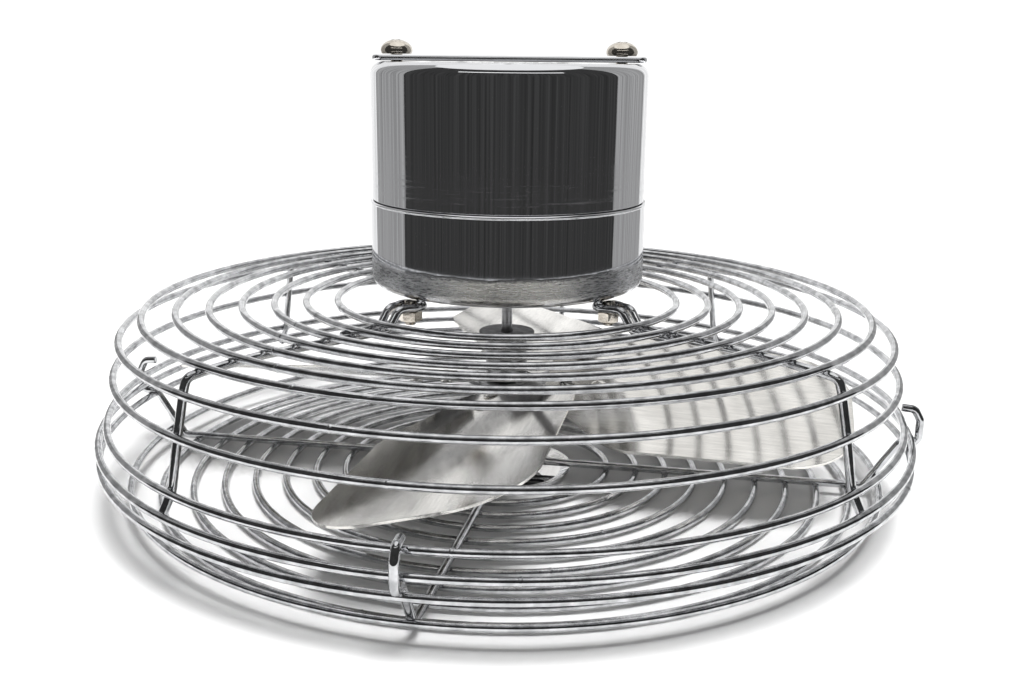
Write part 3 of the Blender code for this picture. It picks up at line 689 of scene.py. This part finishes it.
def rear_rings():
    rings = []
    for i in range(REAR_FACE_RINGS):
        drop = REAR_FACE_DROP.get(i, 0.0)
        rings.append((REAR_FIRST_RING + REAR_RING_PITCH * i, REAR_FACE_HEIGHT - drop))
    return rings + list(REAR_SIDE_RINGS)


def rear_spoke_path():
    """One rear spoke along +X: a short tail, an eyelet round the stud, and the long run to its foot."""
    level = REAR_FACE_HEIGHT - CONTACT
    tail = [
        Vector((REAR_FIRST_RING + REAR_RING_PITCH + 2.5, -TAIL_SIDE, level)),
        Vector((69.5, -TAIL_SIDE, level)),
        Vector((64.3, -2.9, EYELET_HEIGHT)),
        Vector((60.0, -3.6, EYELET_HEIGHT)),
    ]
    path = bent_path(tail, BEND_RADIUS)
    for i in range(25):
        angle = math.radians(-62 - 236 * i / 24)
        x = STUD_REACH + EYELET_RADIUS * math.cos(angle)
        path.append(Vector((x, EYELET_RADIUS * math.sin(angle), EYELET_HEIGHT)))
    run = [
        Vector((60.0, 3.6, EYELET_HEIGHT)),
        Vector((64.3, 2.9, EYELET_HEIGHT)),
        Vector((69.5, TAIL_SIDE, level)),
    ]
    for radius, height in rear_rings()[4:REAR_FACE_RINGS]:
        run.append(Vector((radius, 0.0, height - CONTACT)))
    run.append(Vector((REAR_BEND[0], 0.0, REAR_BEND[1])))
    for radius, height in REAR_SIDE_RINGS:
        run.append(Vector((radius - CONTACT, 0.0, height)))
    last = run[-1] + (run[-1] - run[-2]).normalized() * 2.0
    return path + bent_path(run + [last], BEND_RADIUS)


def rear_guard():
    bm = bmesh.new()
    rings = rear_rings()
    for radius, height in rings:
        add_ring(bm, radius, height)
    path = rear_spoke_path()
    middle = CONTACT / 2
    for angle in REAR_SPOKE_ANGLES:
        turn = Matrix.Rotation(math.radians(angle), 3, "Z")
        add_wire(bm, [turn @ point for point in path], SPOKE_WIRE)
        for i, (radius, height) in enumerate(rings):
            if i < 2:
                sideways = (TAIL_SIDE, -TAIL_SIDE)
            elif i < 4:
                sideways = (TAIL_SIDE * (4 - i) / 3.5,)
            else:
                sideways = (0.0,)
            face = i < REAR_FACE_RINGS
            for side in sideways:
                if face:
                    at = turn @ Vector((radius, side, height - middle))
                else:
                    at = turn @ Vector((radius - middle, side, height))
                add_bead(bm, at, BEAD)
    for i, (radius, height) in enumerate(rings):
        joint = 200.0 + 7.0 * i
        add_bead(bm, around(radius, joint, height), (RING_WIRE * JOINT_BEAD,) * 3)
    show("rear_guard_wires", mesh_from(bm, "rear_guard_wires"), "frame", "chromed_wire", ["rear_guard"])


def front_guard():
    bm = bmesh.new()
    rings = [(FRONT_SECOND_RING - FRONT_RING_PITCH * i, FRONT_RING_HEIGHT) for i in range(FRONT_INNER_RINGS)]
    rings.append(FRONT_RIM_RING)
    for radius, height in rings + [FRONT_OUTER_RING]:
        add_ring(bm, radius, height)
    start = Vector((FRONT_SPOKE_START, 0.0, FRONT_RING_HEIGHT + CONTACT))
    path = bent_path([start] + [Vector((radius, 0.0, height)) for radius, height in HOOK], HOOK_BEND)
    for i in range(4):
        angle = FRONT_SPOKE_ANGLE + 90 * i
        turn = Matrix.Rotation(math.radians(angle), 3, "Z")
        add_wire(bm, [turn @ point for point in path], SPOKE_WIRE)
        for radius, height in rings:
            add_bead(bm, around(radius, angle, height + CONTACT / 2), BEAD)
        add_bead(bm, around(FRONT_OUTER_RING[0] - 1.1, angle, FRONT_OUTER_RING[1] + 0.7), (1.4, 1.4, 1.4))
    for i, (radius, height) in enumerate(rings + [FRONT_OUTER_RING]):
        add_bead(bm, around(radius, 250.0 + 9.0 * i, height), (RING_WIRE * JOINT_BEAD,) * 3)
    show("front_guard_wires", mesh_from(bm, "front_guard_wires"), "frame", "chromed_wire", ["front_guard"])


# ---------------------------------------------------------------- badge

def badge():
    dish = [
        (PILOT_RADIUS, BOSS_TOP), (PILOT_RADIUS, PILOT_BOTTOM), (0, PILOT_BOTTOM), (0, 0), (BADGE_FLAT, 0),
        (BADGE_RADIUS - 0.9, 0.9), (BADGE_RADIUS, BADGE_HEIGHT), (BADGE_RADIUS - 1.2, BADGE_HEIGHT),
        (BADGE_FLAT - 0.4, BADGE_SHEET), (BOSS_RADIUS, BADGE_SHEET), (BOSS_RADIUS, BOSS_TOP),
    ]
    show("badge_dish", turned("badge_dish", softened(dish, 1.0), FINE), "frame", "chrome", ["badge"])
    low = low_of("badge_clamp")
    high = low + CLAMP_THICKNESS
    clamp = [(PILOT_RADIUS, low), (CLAMP_RADIUS, low), (CLAMP_RADIUS, high), (PILOT_RADIUS, high)]
    clamp = turned("badge_clamp_disc", softened(clamp, 0.3), FINE)
    show("badge_clamp_disc", clamp, "frame", "steel", ["badge_clamp"])
    head = high + GAP
    dome = [(0, head + 2.1)] + arc((0, head - 2.1), 4.2, 82, 31, 8)
    screw = dome + [(3.6, head), (1.8, head), (1.8, 3.4), (1.3, 2.9), (0, 2.9)]
    recess = cross_recess(3.6, 0.7, head + 0.9, head + 4, 15)
    screw = combined(turned("badge_screw_head", screw, SMALL), recess, "DIFFERENCE")
    show("badge_screw_head", screw, "frame", "nickel", ["badge_screw"])


# ---------------------------------------------------------------- motor casing

def bolt_holes(low, high):
    return [drill(BOLT_HOLE, low, high, (side * STRAP_BOLT_REACH, 0, 0)) for side in (-1, 1)]


def motor_covers():
    inner = CAN_RADIUS - CAN_WALL
    centre = (CAN_RADIUS - TOP_ROUNDING, CAN_TOP - TOP_ROUNDING)
    profile = [(0, CAN_TOP)] + arc(centre, TOP_ROUNDING, 90, 0, 14)
    above = CAN_LOW + 2
    rim = softened([(CAN_RADIUS, above), (CAN_RADIUS, CAN_LOW), (inner, CAN_LOW), (inner, above)], 0.3)
    profile += rim[4:]
    profile += arc(centre, TOP_ROUNDING - CAN_WALL, 0, 90, 10) + [(0, CAN_TOP - CAN_WALL)]
    mesh = turned("motor_rear_cover", profile, FINE)
    holes = bolt_holes(CAN_TOP - 4, CAN_TOP + 4)
    holes.append(drill(LEAD_HOLE, -5, 5, (0, CAN_RADIUS - 1, LEAD_HEIGHT), (-90, 0, 0)))
    show("motor_rear_cover", combined(mesh, holes, "DIFFERENCE"), "frame", "chrome", ["rear_shell"])

    outer = LIP_RADIUS - LIP
    inner = outer - CAN_WALL
    centre = (outer - BOTTOM_ROUNDING, CAN_BOTTOM + BOTTOM_ROUNDING)
    lip = [
        (inner, LIP_TOP), (outer - 0.15, LIP_TOP), (outer + 0.2, LIP_TOP - 0.3), (LIP_RADIUS, LIP_TOP - 0.6),
        (outer + 0.2, LIP_TOP - 0.95), (outer, LIP_TOP - 1.4),
    ]
    profile = lip + arc(centre, BOTTOM_ROUNDING, 0, -90, 12)
    profile += [(MOUTH_RADIUS, CAN_BOTTOM), (MOUTH_RADIUS, CAN_BOTTOM + CAN_WALL)]
    profile += arc(centre, BOTTOM_ROUNDING - CAN_WALL, -90, 0, 8)
    show("motor_front_cover", turned("motor_front_cover", profile, FINE), "frame", "chrome", ["front_shell"])

    rim = DOME_RADIUS - DOME_EDGE
    low = []
    for i in range(17):
        radius = DOME_HOLE + (rim - DOME_HOLE) * i / 16
        low.append((radius, DOME_LOW + DOME_RISE * (radius / rim) ** 2))
    low.append((DOME_RADIUS - 0.4, DOME_LOW + DOME_RISE + 0.4))
    low.append((DOME_RADIUS, DOME_LOW + DOME_RISE + 0.7))
    high = [(radius, height + DOME_SHEET) for radius, height in reversed(low[:-1])]
    show("motor_end_dome", turned("motor_end_dome", low + high, FINE), "frame", "chrome", ["end_plate"])

    grommet = [
        (2.2, 3.1), (5.4, 3.1), (6.5, 2.4), (6.5, 1.2), (4.1, 1.2), (4.1, -1.1), (5.3, -1.1),
        (5.3, -2.6), (2.2, -2.6),
    ]
    mesh = turned("lead_bushing", softened(grommet, 0.5), MEDIUM)
    at = (0, CAN_RADIUS - 0.7, LEAD_HEIGHT)
    show("lead_bushing", mesh, "frame", "rubber", ["lead_grommet"], at, (-90, 0, 0))


def strap():
    corner = STRAP_CORNER
    outline = []
    waist = [
        (STRAP_WAIST_HALF_LENGTH, STRAP_WAIST_HALF_WIDTH),
        (STRAP_WAIST_HALF_LENGTH + 3, STRAP_HALF_WIDTH),
    ]
    for side_x, side_y, start in ((1, 1, 0), (-1, 1, 90), (-1, -1, 180), (1, -1, 270)):
        centre = (side_x * (STRAP_HALF_LENGTH - corner), side_y * (STRAP_HALF_WIDTH - corner))
        run = [(side_x * x, side_y * y) for x, y in waist]
        turn = arc(centre, corner, start, start + 90, 10)
        outline += turn + run[::-1] if side_x * side_y > 0 else run + turn
    mesh = prism("motor_strap", outline, STRAP_LOW, STRAP_TOP)
    bar = combined(mesh, bolt_holes(STRAP_LOW - 2, STRAP_TOP + 4), "DIFFERENCE")
    bar = show("motor_strap", bar, "frame", "chrome", ["mounting_strap"])
    bevelled(bar, 1.1, 4)

    seat = low_of("strap_bolt_left") + BOLT_LENGTH
    head = half_dome(BOLT_HEAD_RADIUS, BOLT_HEAD_DOME, BOLT_HEAD_SIDE, 6)
    head += [(BOLT_HEAD_RADIUS - 0.05, 0.9), (BOLT_HEAD_RADIUS - 0.3, 0.35), (BOLT_HEAD_RADIUS - 0.5, 0.0)]
    shank = [
        (BOLT_RADIUS, 0.0), (BOLT_RADIUS, 0.5 - BOLT_LENGTH), (BOLT_RADIUS - 0.5, -BOLT_LENGTH),
        (0, -BOLT_LENGTH),
    ]
    recess = cross_recess(5.2, 0.95, 3.7, 7.0, 40)
    mesh = combined(turned("strap_screw", head + shank, MEDIUM), recess, "DIFFERENCE")
    for name, side in (("left", -1), ("right", 1)):
        at = (side * STRAP_BOLT_REACH, 0, seat)
        show("strap_screw_" + name, mesh.copy(), "frame", "nickel", ["strap_bolt_" + name], at)


def guard_fixings():
    """Hexagon nuts with turned-off corners, on studs whose threads are ridges."""
    nut_low = low_of("guard_nut_front_left")
    nut_top = top_of("guard_nut_front_left")
    nut = prism("cage_nut", hex_outline(GUARD_NUT_WIDTH), nut_low, nut_top)
    round_off = [
        (0, nut_top + 0.1), (3.8, nut_top + 0.1), (4.9, nut_top - 0.6), (4.9, nut_low + 0.6),
        (3.8, nut_low - 0.1), (0, nut_low - 0.1),
    ]
    nut = combined(nut, [helper(turned("round_off", round_off, MEDIUM))], "INTERSECT")
    nut = combined(nut, [drill(2.6, nut_low - 2, nut_top + 2)], "DIFFERENCE")
    top = top_of("guard_stud_front_left")
    low = low_of("guard_stud_front_left")
    pitch = THREAD_PITCH
    thread = []
    for i in range(int((top - 3.0 - low) / pitch)):
        height = top - 3.0 - pitch * i
        thread += [(STUD_RADIUS, height), (STUD_RADIUS - 0.3, height - pitch / 2)]
    stud = [(0, top), (STUD_RADIUS, top)] + thread + [(STUD_RADIUS - 0.6, low), (0, low)]
    stud = turned("cage_stud", stud, SMALL)
    names = ("back_right", "back_left", "front_left", "front_right")
    for name, angle in zip(names, REAR_SPOKE_ANGLES):
        at = around(STUD_REACH, angle, 0)
        show("cage_nut_" + name, nut.copy(), "frame", "nickel", ["guard_nut_" + name], at, (0, 0, angle + 8))
        show("cage_stud_" + name, stud.copy(), "frame", "nickel", ["guard_stud_" + name], at, (0, 0, angle))


# ---------------------------------------------------------------- blade wheel

def blade_share(reach):
    return (reach - BLADE_ROOT) / (BLADE_TIP - BLADE_ROOT)


def blade_height(reach):
    return ROOT_HEIGHT + (TIP_HEIGHT - ROOT_HEIGHT) * blade_share(reach)


def blade_slope(reach):
    return ROOT_SLOPE + (TIP_SLOPE - ROOT_SLOPE) * blade_share(reach)


def blade_sides(reach):
    flare = min(1.0, (reach - BLADE_ROOT) / (BLADE_SHOULDER - BLADE_ROOT))
    flare = flare * flare * (3 - 2 * flare)
    low = -BLADE_ROOT_HALF + (BLADE_LOW_SIDE + BLADE_ROOT_HALF) * flare
    high = BLADE_ROOT_HALF + (BLADE_HIGH_SIDE - BLADE_ROOT_HALF) * flare
    past = max(0.0, reach - (BLADE_TIP - BLADE_CORNER)) / BLADE_CORNER
    trim = BLADE_CORNER * (1 - math.sqrt(max(0.0, 1 - past * past)))
    return low + trim, high - trim


def sheet(name, rows, thickness):
    """A thin solid between two copies of a grid of points, one above the other."""
    bm = bmesh.new()
    layers = []
    for lift in (-thickness / 2, thickness / 2):
        layers.append([[bm.verts.new((x, y, z + lift)) for x, y, z in row] for row in rows])
    length = len(rows)
    width = len(rows[0])
    for layer in layers:
        for i in range(length - 1):
            for j in range(width - 1):
                bm.faces.new((layer[i][j], layer[i + 1][j], layer[i + 1][j + 1], layer[i][j + 1]))
    edge = [(i, 0) for i in range(length)] + [(length - 1, j) for j in range(1, width)]
    edge += [(i, width - 1) for i in range(length - 2, -1, -1)] + [(0, j) for j in range(width - 2, 0, -1)]
    low, high = layers
    for (i, j), (k, m) in zip(edge, edge[1:] + edge[:1]):
        bm.faces.new((low[i][j], low[k][m], high[k][m], high[i][j]))
    return mesh_from(bm, name)


def blade_mesh():
    reaches = [BLADE_ROOT + (BLADE_SHOULDER - BLADE_ROOT) * i / 14 for i in range(15)]
    straight = BLADE_TIP - BLADE_CORNER
    reaches += [BLADE_SHOULDER + (straight - BLADE_SHOULDER) * i / 12 for i in range(1, 12)]
    reaches += [straight + BLADE_CORNER * math.sin(math.radians(5 * i)) for i in range(19)]
    rows = []
    for reach in reaches:
        low, high = blade_sides(reach)
        row = []
        for j in range(19):
            side = low + (high - low) * j / 18
            row.append((reach, side, blade_height(reach) + blade_slope(reach) * side))
        rows.append(row)
    return sheet("blade", rows, BLADE_THICKNESS)


def rivet_frame(reach):
    """A frame on the blade's centre line with its Z square to the sheet."""
    fall = (TIP_HEIGHT - ROOT_HEIGHT) / (BLADE_TIP - BLADE_ROOT)
    normal = Vector((-fall, -blade_slope(reach), 1.0)).normalized()
    turn = Vector((0, 0, 1)).rotation_difference(normal).to_matrix().to_4x4()
    return Matrix.Translation(Vector((reach, 0, blade_height(reach))) * MM) @ turn


def spider_mesh():
    disc = [
        (SPIDER_BORE, SPIDER_TOP), (SPIDER_RADIUS, SPIDER_TOP), (SPIDER_RADIUS, SPIDER_BOTTOM),
        (SPIDER_BORE, SPIDER_BOTTOM),
    ]
    body = turned("wheel_spider", softened(disc, 0.4), MEDIUM)
    drop = BLADE_THICKNESS / 2 + GAP + ARM_THICKNESS / 2
    straight = ARM_END - ARM_HALF
    reaches = [ARM_START + (BLADE_ROOT - ARM_START) * i / 5 for i in range(6)]
    reaches += [BLADE_ROOT + (straight - BLADE_ROOT) * i / 6 for i in range(1, 7)]
    reaches += [straight + ARM_HALF * math.sin(math.radians(10 * i)) for i in range(1, 9)]
    rows = []
    for reach in reaches:
        past = max(0.0, reach - straight) / ARM_HALF
        narrowing = 0.93 if past else 1 - 0.35 * blade_share(reach)
        half = ARM_HALF * math.sqrt(1 - past * past) * narrowing
        twist = min(1.0, (reach - ARM_START) / (BLADE_ROOT - ARM_START)) * blade_slope(reach)
        middle = blade_height(max(reach, BLADE_ROOT)) - drop
        rows.append([(reach, half * (j / 3 - 1), middle + twist * half * (j / 3 - 1)) for j in range(7)])
    arms = []
    for i in range(BLADES):
        arms.append(helper(sheet("arm", rows, ARM_THICKNESS), (0, 0, 0), (0, 0, BLADE_ANGLE + 90 * i)))
    return combined(body, arms, "UNION")


def blade_wheel():
    blade = blade_mesh()
    foot = RIVET_FOOT_TOP
    rivet = half_dome(RIVET_HEAD_RADIUS, RIVET_HEAD_DOME, RIVET_HEAD_LOW, 10)
    rivet += [
        (RIVET_RADIUS, RIVET_HEAD_LOW), (RIVET_RADIUS, foot), (3.0, foot), (2.9, foot - 0.45),
        (2.4, foot - 0.85), (0, foot - 0.9),
    ]
    rivet = turned("rivet", rivet, SMALL)
    for i in range(BLADES):
        angle = BLADE_ANGLE + 90 * i
        turn = (0, 0, angle)
        number = str(i + 1)
        leaf = show("leaf_" + number, blade.copy(), "rotor", "aluminium", ["blade_" + number], turn=turn)
        bevelled(leaf, 0.38, 3, 50)
        for side, reach in zip(("inner", "outer"), RIVET_REACHES):
            matrix = Matrix.Rotation(math.radians(angle), 4, "Z") @ rivet_frame(reach)
            name = number + "_" + side
            show("leaf_rivet_" + name, rivet.copy(), "rotor", "aluminium", ["rivet_" + name], matrix=matrix)
    show("wheel_spider", spider_mesh(), "rotor", "steel", ["spider"])
    hub = [
        (SHAFT_BORE, HUB_TOP), (HUB_RADIUS, HUB_TOP), (HUB_RADIUS, SPIDER_TOP + GAP),
        (NECK_RADIUS, SPIDER_TOP + GAP), (NECK_RADIUS, NECK_BOTTOM), (SHAFT_BORE, NECK_BOTTOM),
    ]
    screw_at = (0, 0, SET_SCREW_HEIGHT)
    screw_turn = (0, 90, SET_SCREW_ANGLE)
    hole = drill(2.4, 0, 12, screw_at, screw_turn)
    hub = combined(turned("wheel_hub", softened(hub, 0.8), MEDIUM), [hole], "DIFFERENCE")
    show("wheel_hub", hub, "rotor", "steel", ["hub"])
    grub = turned("hub_grub", [(0, 10.2), (1.7, 10.2), (2.0, 9.9), (2.0, 3.4), (1.2, 2.8), (0, 2.8)], SMALL)
    socket = helper(prism("socket", hex_outline(2.0), 8.0, 12.0))
    grub = combined(grub, [socket], "DIFFERENCE")
    show("hub_grub", grub, "rotor", "dark_steel", ["set_screw"], screw_at, screw_turn)
    radius = reach_of("slinger_disc")
    top = top_of("slinger_disc")
    low = low_of("slinger_disc")
    slinger = softened([(SHAFT_BORE, top), (radius, top), (radius, low), (SHAFT_BORE, low)], 0.4)
    show("oil_slinger", turned("oil_slinger", slinger, FINE), "rotor", "dark_steel", ["slinger_disc"])
    reach = reach_of("shaft")
    top = top_of("shaft")
    low = low_of("shaft")
    shaft = softened([(0, top), (reach, top), (reach, low), (0, low)], 0.5)
    show("motor_shaft", turned("motor_shaft", shaft, MEDIUM), "rotor", "steel", ["shaft"])


# ---------------------------------------------------------------- pieces kept from the frame

KEPT = {
    "dark_steel": ("stator_core", "rotor_core"),
    "copper": ("winding_front", "winding_rear"),
    "bronze": ("front_bush", "rear_bush", "thrust_washer_front", "thrust_washer_rear"),
    "steel": ("front_bracket", "rear_bracket"),
    "aluminium": ("end_ring_front", "end_ring_rear"),
    "nickel": ("strap_nut_left", "strap_nut_right"),
}


def dress_kept_nodes():
    for slot, names in KEPT.items():
        for name in names:
            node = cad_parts[name]
            node.data.materials.clear()
            node.data.materials.append(FINISHES[slot])


# ---------------------------------------------------------------- room

# Lengths of the room are in metres
ROOM_RADIUS = 0.46
ROOM_TOP = 0.87
FLOOR_HALF_WIDTH = 6.0
WHITE_LEVEL = 1.12

# Tones of the room. They are plain greys, even on both sides.
WHITE = (1.0, 1.0, 1.0)
GREY = (0.4, 0.4, 0.4)
DARK = (0.05, 0.05, 0.05)

# Start azimuth of each tone on the room's wall, from the camera's side, positive to the right
ROOM_TONES = ((-180, WHITE), (-135, GREY), (-90, DARK), (90, GREY), (135, WHITE))


def set_piece(name, bm, nodes):
    """A piece of the set, which belongs to no body."""
    mesh = bpy.data.meshes.new(name)
    bm.to_mesh(mesh)
    bm.free()
    mesh.materials.append(nodes.material)
    obj = bpy.data.objects.new(name, mesh)
    bpy.context.scene.collection.objects.link(obj)
    return obj


def reflected_only(obj):
    obj.visible_camera = False
    obj.visible_diffuse = False
    obj.visible_shadow = False
    obj.visible_transmission = False
    obj.visible_volume_scatter = False


def tone_ramp(nodes, share, tones):
    ramp = nodes.tree.nodes.new("ShaderNodeValToRGB")
    ramp.color_ramp.interpolation = "CONSTANT"
    stops = ramp.color_ramp.elements
    for i, (azimuth, tone) in enumerate(tones):
        place = (azimuth + 180.0) / 360.0
        stop = stops[i] if i < 2 else stops.new(place)
        stop.position = place
        stop.color = (*tone, 1.0)
    nodes.link(share, ramp.inputs["Fac"])
    return ramp.outputs["Color"]


def upright_band(bm, azimuths, heights, radius, steps):
    """Part of a cylinder's wall. Its azimuths are from the camera's side, positive to the right."""
    lines = []
    for height in heights:
        line = []
        for i in range(steps + 1):
            azimuth = math.radians(azimuths[0] + (azimuths[1] - azimuths[0]) * i / steps)
            line.append(bm.verts.new((radius * math.sin(azimuth), -radius * math.cos(azimuth), height)))
        lines.append(line)
    low, high = lines
    for i in range(steps):
        bm.faces.new((low[i], low[i + 1], high[i + 1], high[i]))


def room_wall():
    """A room that is pale behind the fan and dark on the camera's side, seen only in reflections."""
    nodes = Nodes("room_wall")
    nodes.glow()
    height = nodes.along("Z")
    forward = nodes.math("MULTIPLY", nodes.along("Y"), -1.0)
    angle = nodes.math("ARCTAN2", nodes.along("X"), forward)
    share = nodes.spread(angle, -math.pi, math.pi, 0.0, 1.0)
    unrolled = nodes.tree.nodes.new("ShaderNodeCombineXYZ")
    nodes.link(angle, unrolled.inputs["X"])
    nodes.link(height, unrolled.inputs["Z"])
    unrolled = unrolled.outputs["Vector"]
    ragged = nodes.noise(1.0, 4.0, nodes.stretched((1.0, 1.0, 9.0), unrolled))
    place = nodes.math("ADD", share, nodes.spread(ragged, 0.0, 1.0, -0.003, 0.003))
    nodes.link(tone_ramp(nodes, place, ROOM_TONES), nodes.shader.inputs["Color"])
    streaks = nodes.noise(1.0, 4.0, nodes.stretched((38.0, 1.0, 2.0), unrolled))
    nodes.link(nodes.spread(streaks, 0.3, 0.7, 0.55, 1.45), nodes.shader.inputs["Strength"])
    bm = bmesh.new()
    upright_band(bm, (-180, 180), (0.001, ROOM_TOP), ROOM_RADIUS, 96)
    reflected_only(set_piece("room_wall", bm, nodes))


def bright_strip(name, azimuths, heights, inset, colour, strength):
    """A bright strip on the room's wall, seen only in reflections."""
    nodes = Nodes(name)
    nodes.glow()
    nodes.shader.inputs["Color"].default_value = (*colour, 1.0)
    nodes.shader.inputs["Strength"].default_value = strength
    bm = bmesh.new()
    upright_band(bm, azimuths, heights, ROOM_RADIUS - inset, 24)
    reflected_only(set_piece(name, bm, nodes))


def bright_strips():
    bright_strip("strip_light", (-45, 45), (0.45, 0.50), 0.010, (1.0, 1.0, 1.0), 1.5)


def floor():
    bm = bmesh.new()
    half = FLOOR_HALF_WIDTH
    corners = ((-half, -half), (half, -half), (half, half), (-half, half))
    bm.faces.new([bm.verts.new((x, y, 0)) for x, y in corners])
    nodes = Nodes("floor")
    nodes.shader.inputs["Specular IOR Level"].default_value = 0.0
    faint = nodes.noise(3.0, 3.0)
    colour = nodes.mix(faint, (0.90, 0.90, 0.90), (0.93, 0.93, 0.93))
    nodes.surface(colour, nodes.spread(faint, 0, 1, 0.8, 0.9))
    set_piece("floor", bm, nodes)


def distant_light(name, spread, strength, tilt):
    """A light from far above, spread over an angle in degrees, that reflections don't show."""
    lamp = bpy.data.lights.new(name, "SUN")
    lamp.angle = math.radians(spread)
    lamp.energy = strength
    obj = bpy.data.objects.new(name, lamp)
    bpy.context.scene.collection.objects.link(obj)
    obj.rotation_euler = [math.radians(angle) for angle in tilt]
    obj.visible_glossy = False


def lights():
    """Even white surroundings for the camera and reflections, a broad sky, and a high window in front."""
    world = bpy.data.worlds.new("world")
    world.use_nodes = True
    background = world.node_tree.nodes["Background"]
    background.inputs["Color"].default_value = (1.0, 1.0, 1.0, 1.0)
    path = world.node_tree.nodes.new("ShaderNodeLightPath")
    strength = world.node_tree.nodes.new("ShaderNodeMapRange")
    strength.inputs["To Min"].default_value = WHITE_LEVEL
    strength.inputs["To Max"].default_value = 0.0
    world.node_tree.links.new(path.outputs["Is Diffuse Ray"], strength.inputs["Value"])
    world.node_tree.links.new(strength.outputs["Result"], background.inputs["Strength"])
    bpy.context.scene.world = world
    distant_light("sky", 180.0, 0.95, (0, 0, 0))
    distant_light("window", 26.0, 3.9, (16, 9, 0))


def standard_tones():
    """Plain tones without a film look, so that the white set stays white and the chrome stays dark."""
    view = bpy.context.scene.view_settings
    view.view_transform = "Standard"
    view.look = "None"


make_camera()
standard_tones()
rear_guard()
front_guard()
badge()
motor_covers()
strap()
guard_fixings()
blade_wheel()
dress_kept_nodes()
room_wall()
bright_strips()
floor()
lights()
